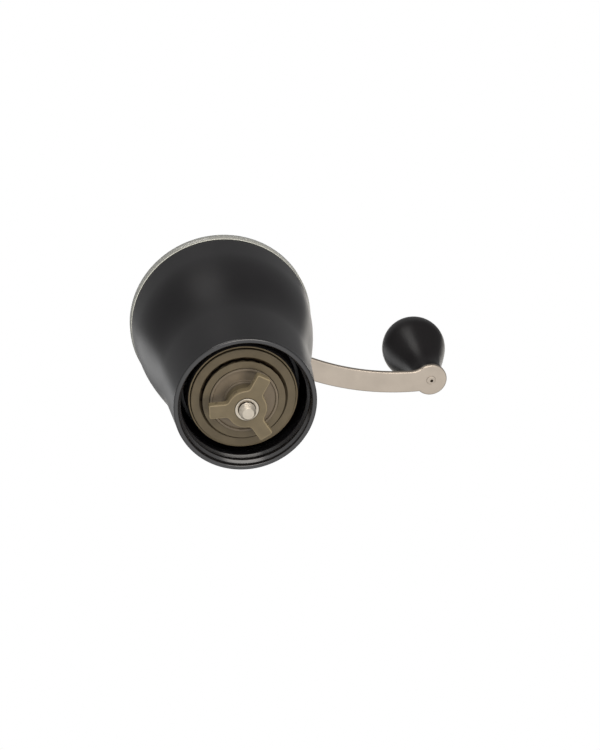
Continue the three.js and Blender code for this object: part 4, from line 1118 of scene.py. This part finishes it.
def drive_shaft(sizes):
    """Shaft with its threaded and flatted end, collar, clip groove, drive square and stud."""
    collar, _, high = span("drive_shaft")
    collar_low = span("upper_spring_washer")[2] + SEAT_GAP
    collar_high = span("thrust_washer")[1] - SEAT_GAP
    _, clip_low, clip_high = span("retaining_clip")
    _, crank_low, crank_high = span("crank_arm")
    groove = SHAFT_RADIUS - CLIP_GROOVE
    square_low = crank_low - SEAT_GAP
    upper = turned([
        (0, collar_low),
        (collar, collar_low, 0.2),
        (collar, collar_high, 0.2),
        (SHAFT_RADIUS, collar_high, 0.2),
        (SHAFT_RADIUS, clip_low - FIT_GAP),
        (groove, clip_low - FIT_GAP),
        (groove, clip_high + FIT_GAP),
        (SHAFT_RADIUS, clip_high + FIT_GAP),
        (SHAFT_RADIUS, square_low, 0.3),
        (STUD_RADIUS, square_low),
        (STUD_RADIUS, high - 0.6, 0.1),
        (STUD_RADIUS - 0.6, high, 0.1),
        (0, high),
    ], SMALL_SIDES)
    turned_corner = math.radians(8)
    reach = min(SQUARE_HALF * math.sqrt(2), SHAFT_RADIUS - 0.02)
    square = []
    for k in range(4):
        middle = math.pi / 4 + math.pi / 2 * k
        square += arc((0, 0), reach, middle - turned_corner, middle + turned_corner, 3)
    key = cut_plate(square, [], square_low - 0.1, crank_high + SEAT_GAP, 0.15, 2)
    piece("drive_spindle", merged(threaded_end(sizes, collar_low - 0.1), upper, key))


def retaining_clip():
    """Open ring in the shaft's groove."""
    outer, low, high = span("retaining_clip")
    inner = SHAFT_RADIUS - CLIP_GROOVE + FIT_GAP
    opening = math.pi / 5
    end = FULL_TURN - opening
    outline = arc((0, 0), outer, opening, end, 60) + arc((0, 0), inner, end, opening, 40)
    piece("clip_ring", cut_plate(without_doubles(outline), [], low, high, 0.12, 2))


def shaft_bush():
    """Flanged nylon bush under the support."""
    outer, low, high = span("shaft_bush")
    bore = SHAFT_RADIUS + RUN_GAP
    sleeve = bore + 1.1
    flange = low + 0.9
    lathe("flanged_bush", [(bore, low, 0.3), (outer, low, 0.25), (outer, flange, 0.25),
                           (sleeve, flange, 0.2), (sleeve, high, 0.2), (bore, high, 0.3)],
          SMALL_SIDES)


def clear_lid(sizes):
    """Clear lid: band over the hopper's edge, spigot in its mouth, gently raised middle. Its band
    next to the hopper is painted paler and less clear, for the light that its thick rim gathers."""
    outer, low, high = span("clear_lid")
    foot = BODY_HEIGHT + SEAT_GAP
    top = BODY_HEIGHT + LID_TOP
    body = bell_radius(BODY_HEIGHT)
    spigot = wall_radius(BODY_HEIGHT) - 0.4
    inside = spigot - LID_WALL
    bend = lerp(outer, LID_HOLE_RADIUS, 0.4)
    under = top - LID_WALL
    lid = lathe("lid_dish", [
        (spigot, foot, 0.3),
        (body, foot, 0.3),
        (outer, foot + LID_FOOT_SLOPE, 0.5),
        (outer, foot + LID_LIT_BAND_TO),
        (outer, top - 0.9, 0.7),
        (outer - 0.9, top, sizes.lid_round / MM),
        (bend, top + LID_BEND_RISE, 8),
        (LID_HOLE_RADIUS, high, 0.3),
        (LID_HOLE_RADIUS, high - LID_WALL, 0.3),
        (bend, under + LID_BEND_RISE, 8),
        (inside, under, 1.2),
        (inside, low, 0.6),
        (spigot, low, 0.5),
    ], LARGE_SIDES)
    # Painted light: the band next to the hopper gets the paler, less clear rim finish
    second_finish(lid, "lid_rim",
                  lambda radius, height: radius > body and height < foot + LID_LIT_BAND_TO)


def lid_grommet():
    """Rubber grommet that lines the lid's hole."""
    outer, low, high = span("lid_grommet")
    bore = SHAFT_RADIUS + SEAT_GAP
    groove = LID_HOLE_RADIUS - FIT_GAP
    flange = 0.9
    lathe("lid_ring", [
        (bore, low, 0.4), (outer, low, 0.4), (outer, low + flange, 0.2),
        (groove, low + flange, 0.1), (groove, high - flange, 0.1),
        (outer, high - flange, 0.2), (outer - 0.4, high, 0.5), (bore, high, 0.4),
    ], MEDIUM_SIDES)


def meet(first, r_first, second, r_second):
    """Where two circles meet, on the left of the line from the first centre to the second."""
    unit = second - first
    distance = unit.length
    unit = unit.normalized()
    along = (r_first ** 2 - r_second ** 2 + distance ** 2) / (2 * distance)
    across = math.sqrt(r_first ** 2 - along ** 2)
    return first + unit * along + Vector((-unit.y, unit.x)) * across


def crank_outline():
    """Clockwise outline of the crank strap: a bow with a round eye at each end."""
    bow_radius = (CRANK_LENGTH ** 2 / 4 + STRAP_BOW ** 2) / (2 * STRAP_BOW)
    bow = Vector((CRANK_LENGTH / 2, STRAP_BOW - bow_radius))
    hub = Vector((0, 0))
    eye = Vector((CRANK_LENGTH, 0))
    full = bow_radius + STRAP_WIDTH / 2
    hollow = bow_radius - STRAP_WIDTH / 2
    hub_notch = meet(hub, SHAFT_EYE_RADIUS, bow, full)
    eye_notch = meet(bow, full, eye, GRIP_EYE_RADIUS)
    hub_fillet = meet(hub, SHAFT_EYE_RADIUS + EYE_FILLET, bow, hollow - EYE_FILLET)
    eye_fillet = meet(bow, hollow - EYE_FILLET, eye, GRIP_EYE_RADIUS + EYE_FILLET)

    def bearing(start, end):
        return math.atan2(end.y - start.y, end.x - start.x)

    # Each bend: its way round, with -1 for clockwise, its centre and radius, two places that
    # give its first bearing, two that give its last, and its steps
    bends = [(-1, bow, full, (bow, hub_notch), (bow, eye_notch), 60),
             (-1, eye, GRIP_EYE_RADIUS, (eye, eye_notch), (eye, eye_fillet), 40),
             (1, eye_fillet, EYE_FILLET, (eye_fillet, eye), (bow, eye_fillet), 14),
             (1, bow, hollow, (bow, eye_fillet), (bow, hub_fillet), 50),
             (1, hub_fillet, EYE_FILLET, (bow, hub_fillet), (hub_fillet, hub), 14),
             (-1, hub, SHAFT_EYE_RADIUS, (hub, hub_fillet), (hub, hub_notch), 40)]
    points = []
    for way, centre, radius, first, last, steps in bends:
        start = bearing(*first)
        turn = way * (way * (bearing(*last) - start) % FULL_TURN)
        points += arc(centre, radius, start, start + turn, steps)
    return without_doubles(points)


def crank_arm(sizes):
    """Crank strap with a square hole for the shaft and a round one for the grip's rivet."""
    _, low, high = span("crank_arm")
    half = SQUARE_HALF + FIT_GAP
    square = [Vector(p) for p in ((-half, -half), (-half, half), (half, half), (half, -half))]
    hole = arc((CRANK_LENGTH, 0), RIVET_HOLE_RADIUS, 0, -FULL_TURN, 40)[:-1]
    piece("crank_strap", cut_plate(crank_outline()[::-1], [square, hole], low, high,
                                   sizes.strap_round / MM, 5))


def cap_nut():
    """Domed cap nut with chamfered corners."""
    _, low, high = span("cap_nut")
    hex_top = low + NUT_HEX_HEIGHT
    corner = NUT_HALF_FLATS / math.cos(math.pi / 6)

    def hexed(x, y, z):
        angle = (math.atan2(y, x) + math.pi / 6) % (math.pi / 3) - math.pi / 6
        shrink = min(1, NUT_HALF_FLATS / math.cos(angle) / math.hypot(x, y))
        return x * shrink, y * shrink, z

    profile = [(0, low), (NUT_HALF_FLATS, low, 0.1), (corner, low + NUT_CHAMFER, 0.1),
               (corner, hex_top - NUT_CHAMFER, 0.1), (NUT_DOME_RADIUS + 0.1, hex_top, 0.2)]
    for angle in between(0, math.pi / 2, 16):
        profile.append((NUT_DOME_RADIUS * math.cos(angle),
                        hex_top + NUT_DOME_RADIUS * math.sin(angle)))
    profile.append((0, high))
    lathe("domed_nut", profile, SMALL_SIDES * 2, shape=hexed)


def grip_axle(sizes):
    """Grip axle, with its end riveted over in the strap's eye and a pit beside its middle."""
    head, low, high = span("grip_axle")
    _, strap_low, strap_high = span("crank_arm")
    shoulder = strap_high + RUN_GAP
    rivet_head = sizes.rivet_head / MM
    rivet_top = strap_low + 0.4
    pit = sizes.pit_radius / MM

    def off_middle(x, y, z):
        share = 1 - smoothstep((math.hypot(x, y) - pit - 0.3) / 0.9)
        return x + PIT_ASIDE[0] * share, y + PIT_ASIDE[1] * share, z

    lathe("grip_rivet_axle", [
        (0, low + PIT_DEPTH + 0.6),
        (pit * 0.5, low + PIT_DEPTH + 0.4),
        (pit, low + PIT_DEPTH, 0.1),
        (pit, low + 0.12, 0.15),
        (pit + 0.3, low + 0.05, 0.1),
        (1.75, low, 0.3),
        (2.0, low + 0.14, 0.2),
        (rivet_head, low + 0.1, 0.1),
        (rivet_head, rivet_top, 0.05),
        (RIVET_RADIUS, rivet_top),
        (RIVET_RADIUS, shoulder),
        (AXLE_RADIUS, shoulder, 0.2),
        (AXLE_RADIUS, high - AXLE_HEAD, 0.1),
        (head, high - AXLE_HEAD, 0.3),
        (head, high, 0.4),
        (0, high),
    ], SMALL_SIDES, CRANK_LENGTH, off_middle)


def smooth_line(points, steps):
    """Points of a smooth line through all but the first and last of these points."""
    line = []
    for first, start, end, last in zip(points, points[1:], points[2:], points[3:]):
        for i in range(steps):
            t = i / steps
            line.append([
                ((2 * b + (c - a) * t + (2 * a - 5 * b + 4 * c - d) * t ** 2
                  + (3 * b - a - 3 * c + d) * t ** 3) / 2)
                for a, b, c, d in zip(first, start, end, last)
            ])
    return line


def grip_centre():
    """Height of the middle of the grip's ball."""
    return span("crank_arm")[1] + GRIP_CENTRE_RISE


def grip_knob(sizes):
    """Bulb grip: ball on a taper that touches it, open on top for its cap."""
    low = span("grip_knob")[1]
    centre = grip_centre()
    touch_z = centre - GRIP_TAPER_END
    bore = AXLE_RADIUS + RUN_GAP + GRIP_BUSH_WALL + FIT_GAP
    bush_top = span("grip_bush")[2]
    head = AXLE_HEAD_ROOM + SEAT_GAP
    head_top = span("grip_cap")[1] - SEAT_GAP
    cap_bore = GRIP_CAP_RADIUS + FIT_GAP
    open_angle = math.acos(cap_bore / GRIP_RADIUS)
    taper = smooth_line([(radius, centre - below) for radius, below in GRIP_TAPER], 6)
    profile = [(bore, low, 0.2), (GRIP_TAPER[1][0], low, sizes.foot_round / MM)]
    profile += [(radius, height) for radius, height in taper if low + 1.5 < height < touch_z]
    steps = 48
    for i in range(steps + 1):
        angle = lerp(math.asin((touch_z - centre) / GRIP_RADIUS), open_angle, i / steps)
        profile.append((GRIP_RADIUS * math.cos(angle), centre + GRIP_RADIUS * math.sin(angle)))
    profile += [(cap_bore, head_top, 0.2), (head, head_top, 0.1), (head, bush_top, 0.1),
                (bore, bush_top, 0.1)]
    lathe("grip_bulb", profile, LARGE_SIDES, CRANK_LENGTH)


def grip_cap():
    """Cap that closes the grip flush with the ball."""
    low = span("grip_cap")[1]
    steps = 12
    profile = [(0, low), (GRIP_CAP_RADIUS, low, 0.3)]
    for i in range(steps):
        along = GRIP_CAP_RADIUS * (1 - i / steps)
        height = grip_centre() + math.sqrt(GRIP_RADIUS ** 2 - along ** 2)
        profile.append((along, height, 0.15) if i == 0 else (along, height))
    profile.append((0, grip_centre() + GRIP_RADIUS))
    lathe("grip_plug", profile, MEDIUM_SIDES, CRANK_LENGTH)


# What a user can change

def length_setting(label, default, low, high, use):
    """A length property. It is given in mm, and Blender keeps it in metres."""
    return FloatProperty(name=label, description=use, default=default * MM, min=low * MM,
                         max=high * MM, precision=5, subtype="DISTANCE", unit="LENGTH")


class MillSizes(bpy.types.PropertyGroup):
    """Sizes of the details that the looks add to the solids."""

    rim_round: length_setting("Neck rim round", 1.0, 0.2, 1.0,
                              "Radius on the outer edge of the neck's rim")
    thread_pitch: length_setting("Neck thread pitch", 5.6, 3.0, 8.0,
                                 "Rise of the jar's thread in one turn")
    thread_depth: length_setting("Neck thread depth", 1.5, 0.5, 2.0,
                                 "How far the ridge stands in from the bore")
    thread_crest: length_setting("Neck thread crest", 1.0, 0.5, 3.0,
                                 "Width of the ridge's crest")
    thread_flank: length_setting("Neck thread flank", 0.95, 0.3, 1.5,
                                 "Height of each slope of the ridge")
    thread_turns: FloatProperty(name="Neck thread turns", default=2.0, min=1.0, max=2.5,
                                description="How many turns the ridge makes")
    thread_low: length_setting("Neck thread start height", 2.1, 1.5, 5.0,
                               "Height at which the ridge starts")
    thread_start: FloatProperty(name="Neck thread start", default=math.radians(329), min=0.0,
                                max=FULL_TURN, subtype="ANGLE", unit="ROTATION",
                                description="Direction in which the ridge starts")
    tooth_sides: IntProperty(name="Sides of a tooth", default=9, min=3, max=15,
                             description="Steps in which each burr tooth is drawn")
    wing_width: length_setting("Wing width", 6.8, 5.0, 6.8,
                               "Width of each wing of the adjusting knob")
    wing_root_round: length_setting("Wing root round", 2.4, 0.5, 3.0,
                                    "Radius where a wing leaves the hub")
    wing_tip_round: length_setting("Wing tip round", 1.0, 0.7, 2.0,
                                   "Radius on the corners of a wing")
    edge_round: length_setting("Knob edge round", 0.6, 0.1, 0.65,
                               "Radius on the edges of the knob's plate")
    sleeve_chamfer: length_setting("Sleeve chamfer", 0.25, 0.1, 0.9,
                                   "Chamfer at the mouth of the metal sleeve")
    thread_cut: length_setting("Shaft thread depth", 0.55, 0.1, 0.7,
                               "Depth of the thread on the shaft's end")
    end_chamfer: length_setting("Shaft end chamfer", 1.25, 0.3, 2.0,
                                "Chamfer on the shaft's threaded end")
    lid_round: length_setting("Lid edge round", 1.2, 0.3, 2.0,
                              "Radius on the lid's upper edge")
    strap_round: length_setting("Strap edge round", 0.9, 0.2, 1.2,
                                "Radius on the edges of the crank strap")
    rivet_head: length_setting("Rivet head", 2.42, 2.35, 2.44,
                               "Radius of the grip's riveted-over end")
    pit_radius: length_setting("Rivet pit", 0.8, 0.3, 0.9,
                               "Radius of the pit in the grip's riveted-over end")
    foot_round: length_setting("Grip foot round", 0.6, 0.2, 1.5,
                               "Radius on the lower edge of the grip")


def colour_setting(label, code, use):
    """A colour property whose default is an sRGB hex code."""
    return FloatVectorProperty(name=label, description=use, subtype="COLOR", size=3,
                               min=0.0, max=1.0, default=linear(code))


class MillColours(bpy.types.PropertyGroup):
    """Colours of the mill's finishes."""

    black: colour_setting("Black plastic", "#181719", "Hopper and support")
    neck: colour_setting("Black plastic, polished", "#1a191b", "Bore, thread and rim of the neck")
    grip: colour_setting("Black grip", "#191718", "Grip and its cap")
    olive: colour_setting("Olive plastic", "#70654f", "Knob and housing")
    cup: colour_setting("Grey-olive plastic", "#776c5c", "Carrier disc")
    ceramic: colour_setting("Olive ceramic", "#665c49", "Both burrs")
    clear: colour_setting("Smoked clear plastic", "#d2d3c9", "Lid")
    lid_rim: colour_setting("Clear lid's rim", "#e4e4dc", "Band of the clear lid")
    satin: colour_setting("Tumbled steel", "#c0b4a6", "Crank and grip axle")
    bright: colour_setting("Turned steel", "#d0c6b6", "Nut, washers and clip")
    oily: colour_setting("Turned steel, painted shade in the sleeve", "#d0c6b6", "Shaft and the knob's sleeve")
    nylon: colour_setting("Natural nylon", "#d9d4c8", "Bushes and running washers")
    rubber: colour_setting("Rubber", "#242324", "Lid grommet")
    floor: colour_setting("Floor", "#f4f3f1", "The stage's floor")


class MILL_OT_hopper(bpy.types.Operator):
    """Build the hopper shell with its neck thread, and the funnel floor"""

    bl_idname = "mill.hopper"
    bl_label = "Hopper"

    def execute(self, context):
        hopper_shell(context.scene.mill_sizes)
        neck_thread(context.scene.mill_sizes)
        hopper_floor()
        return {"FINISHED"}


class MILL_OT_burrs(bpy.types.Operator):
    """Build the housing, both burrs, the carrier and its retainer"""

    bl_idname = "mill.burrs"
    bl_label = "Burr set"

    def execute(self, context):
        burr_housing()
        outer_burr(context.scene.mill_sizes)
        inner_burr(context.scene.mill_sizes)
        burr_carrier()
        flat_ring("burr_retainer_ring", CARRIER_STEM_RADIUS + FIT_GAP, (0.15, 0.25, 0.25, 0.15))
        return {"FINISHED"}


class MILL_OT_adjuster(bpy.types.Operator):
    """Build the winged adjusting knob and its metal sleeve"""

    bl_idname = "mill.adjuster"
    bl_label = "Adjusting knob"

    def execute(self, context):
        adjusting_knob(context.scene.mill_sizes)
        adjusting_insert(context.scene.mill_sizes)
        return {"FINISHED"}


class MILL_OT_shaft(bpy.types.Operator):
    """Build the drive shaft with its bush, washers and clip, and dress its support and spring"""

    bl_idname = "mill.shaft"
    bl_label = "Shaft"

    def execute(self, context):
        drive_shaft(context.scene.mill_sizes)
        for name in ("spring_seat", "spring_stop", "thrust_ring", "clip_seat"):
            flat_ring(name, SHAFT_RADIUS + FIT_GAP, WASHER_ROUNDS)
        retaining_clip()
        shaft_bush()
        dress_node("shaft_support", "black", edge=0.4)
        dress_node("burr_spring", "bright")
        return {"FINISHED"}


class MILL_OT_lid(bpy.types.Operator):
    """Build the clear lid and its grommet"""

    bl_idname = "mill.lid"
    bl_label = "Lid"

    def execute(self, context):
        clear_lid(context.scene.mill_sizes)
        lid_grommet()
        return {"FINISHED"}


class MILL_OT_crank(bpy.types.Operator):
    """Build the crank strap with its washer, cap nut and grip axle"""

    bl_idname = "mill.crank"
    bl_label = "Crank"

    def execute(self, context):
        crank_arm(context.scene.mill_sizes)
        flat_ring("nut_washer", SHAFT_RADIUS + FIT_GAP, WASHER_ROUNDS)
        cap_nut()
        grip_axle(context.scene.mill_sizes)
        return {"FINISHED"}


class MILL_OT_grip(bpy.types.Operator):
    """Build the bulb grip with its bush, washer and cap"""

    bl_idname = "mill.grip"
    bl_label = "Grip"

    def execute(self, context):
        grip_knob(context.scene.mill_sizes)
        grip_cap()
        flat_ring("grip_liner", AXLE_RADIUS + RUN_GAP, (0.15, 0.15, 0.15, 0.15), CRANK_LENGTH)
        flat_ring("grip_spacer", AXLE_RADIUS + FIT_GAP, (0.1, 0.2, 0.2, 0.1), CRANK_LENGTH)
        return {"FINISHED"}


# Stage

def stage_camera():
    """The camera, below the mill and to one side."""
    data = bpy.data.cameras.new("camera")
    data.lens = CAMERA_LENS
    data.sensor_width = 36
    data.clip_start = 0.01
    data.clip_end = 20
    camera = placed("camera", data)
    turn = Matrix((CAMERA_RIGHT, CAMERA_UP, -CAMERA_AHEAD)).transposed().to_4x4()
    camera.matrix_world = Matrix.Translation(CAMERA_PLACE * MM) @ turn
    bpy.context.scene.camera = camera


def stage_lamps():
    """Soft lamps round the mill and above it, which all look at the stage's middle."""
    for name, (direction, distance, size, power, tint, in_gloss) in LAMPS.items():
        data = bpy.data.lights.new(name, "AREA")
        data.shape = "RECTANGLE"
        data.size, data.size_y = size
        data.energy = power
        data.color = linear(tint)
        lamp = placed(name, data)
        back = direction.normalized()
        across = (CAMERA_RIGHT - back * CAMERA_RIGHT.dot(back)).normalized()
        turn = Matrix((across, back.cross(across), back)).transposed().to_4x4()
        lamp.matrix_world = Matrix.Translation(STAGE_MIDDLE * MM + back * distance) @ turn
        lamp.visible_glossy = in_gloss


def stage_world():
    """White to the eye and through glass; in gloss, white below and a greyer room above; and a
    dimmer, even light on the mill."""
    world = bpy.data.worlds.new("studio")
    bpy.context.scene.world = world
    world.use_nodes = True
    world.node_tree.nodes.clear()
    rays = add_node(world, "ShaderNodeLightPath").outputs
    way = add_node(world, "ShaderNodeTexCoord").outputs["Generated"]
    rise = add_node(world, "ShaderNodeSeparateXYZ", {"Vector": way}).outputs["Z"]
    level = add_node(world, "ShaderNodeMapRange",
                     {"Value": rise, "From Min": -1.0, "From Max": 1.0})
    room = add_node(world, "ShaderNodeValToRGB", {"Fac": level.outputs["Result"]},
                    stops=[((height + 1) / 2, opaque([light] * 3))
                           for height, light in ROOM_LIGHT])
    seen = add_node(world, "ShaderNodeMath",
                    {0: rays["Is Camera Ray"], 1: rays["Is Transmission Ray"]},
                    {"operation": "MAXIMUM"})
    even = add_node(world, "ShaderNodeMapRange",
                    {"Value": seen.outputs["Value"], "To Min": EVEN_LIGHT, "To Max": 1.0})
    strength = add_node(world, "ShaderNodeMix",
                        {"Factor": rays["Is Glossy Ray"], "A": even.outputs["Result"],
                         "B": room.outputs["Color"]}, {"data_type": "FLOAT"})
    background = add_node(world, "ShaderNodeBackground",
                          {"Color": (1, 1, 1, 1), "Strength": strength.outputs["Result"]})
    add_node(world, "ShaderNodeOutputWorld", {"Surface": background.outputs["Background"]})


def stage_floor(colour):
    """Pale floor under the mill, of matt painted board with a faint drift in its tone. It shows
    from above only and takes the mill's shadow; light and the eye pass it from below."""
    material, place = new_material("Painted board, matt pale")
    tone = add_node(material, "ShaderNodeTexNoise", {"Vector": place, "Scale": per_mm(60)})
    base = add_node(material, "ShaderNodeValToRGB", {"Fac": tone.outputs["Fac"]},
                    stops=[(0.3, opaque(colour, 0.985)), (0.7, opaque(colour))])
    board = add_node(material, "ShaderNodeBsdfPrincipled",
                     {"Base Color": base.outputs["Color"], "Roughness": 0.8,
                      "Specular IOR Level": 0.2})
    rays = add_node(material, "ShaderNodeLightPath").outputs
    side = add_node(material, "ShaderNodeNewGeometry").outputs
    front = add_node(material, "ShaderNodeMath", {0: 1.0, 1: side["Backfacing"]},
                     {"operation": "SUBTRACT"})
    shown = add_node(material, "ShaderNodeMath",
                     {0: front.outputs["Value"], 1: rays["Is Camera Ray"]},
                     {"operation": "MULTIPLY"})
    clear = add_node(material, "ShaderNodeBsdfTransparent")
    mix = add_node(material, "ShaderNodeMixShader",
                   {"Fac": shown.outputs["Value"], 1: clear.outputs["BSDF"],
                    2: board.outputs["BSDF"]})
    add_node(material, "ShaderNodeOutputMaterial", {"Surface": mix.outputs["Shader"]})
    mesh = bmesh.new()
    mesh.faces.new(add_row(mesh, circle(FLOOR_RADIUS, span("drive_shaft")[1] - 0.1, 64)))
    data = mesh_data("floor", mesh)
    data.materials.append(material)
    floor = placed("floor", data)


class MILL_OT_stage(bpy.types.Operator):
    """Set up the camera, the soft lamps, the white surroundings and the pale floor"""

    bl_idname = "mill.stage"
    bl_label = "Stage"

    def execute(self, context):
        context.scene.view_settings.view_transform = "Standard"
        stage_camera()
        stage_lamps()
        stage_world()
        stage_floor(context.scene.mill_colours.floor)
        return {"FINISHED"}


OPERATORS = (
    MILL_OT_stage,
    MILL_OT_hopper,
    MILL_OT_burrs,
    MILL_OT_adjuster,
    MILL_OT_shaft,
    MILL_OT_lid,
    MILL_OT_crank,
    MILL_OT_grip,
)


class MILL_PT_tools(bpy.types.Panel):
    """Buttons, sizes and colours of the mill"""

    bl_label = "Coffee mill"
    bl_space_type = "VIEW_3D"
    bl_region_type = "UI"
    bl_category = "Mill"

    def draw(self, context):
        for operator in OPERATORS:
            self.layout.operator(operator.bl_idname)
        for group in (context.scene.mill_sizes, context.scene.mill_colours):
            box = self.layout.box()
            for name in group.__annotations__:
                box.prop(group, name)


CLASSES = (MillSizes, MillColours, *OPERATORS, MILL_PT_tools)


def register():
    for cls in CLASSES:
        bpy.utils.register_class(cls)
    bpy.types.Scene.mill_sizes = PointerProperty(type=MillSizes)
    bpy.types.Scene.mill_colours = PointerProperty(type=MillColours)


def unregister():
    del bpy.types.Scene.mill_colours
    del bpy.types.Scene.mill_sizes
    for cls in reversed(CLASSES):
        bpy.utils.unregister_class(cls)


def main():
    register()
    for operator in OPERATORS:
        group, name = operator.bl_idname.split(".")
        getattr(getattr(bpy.ops, group), name)()


if __name__ == "__main__":
    main()
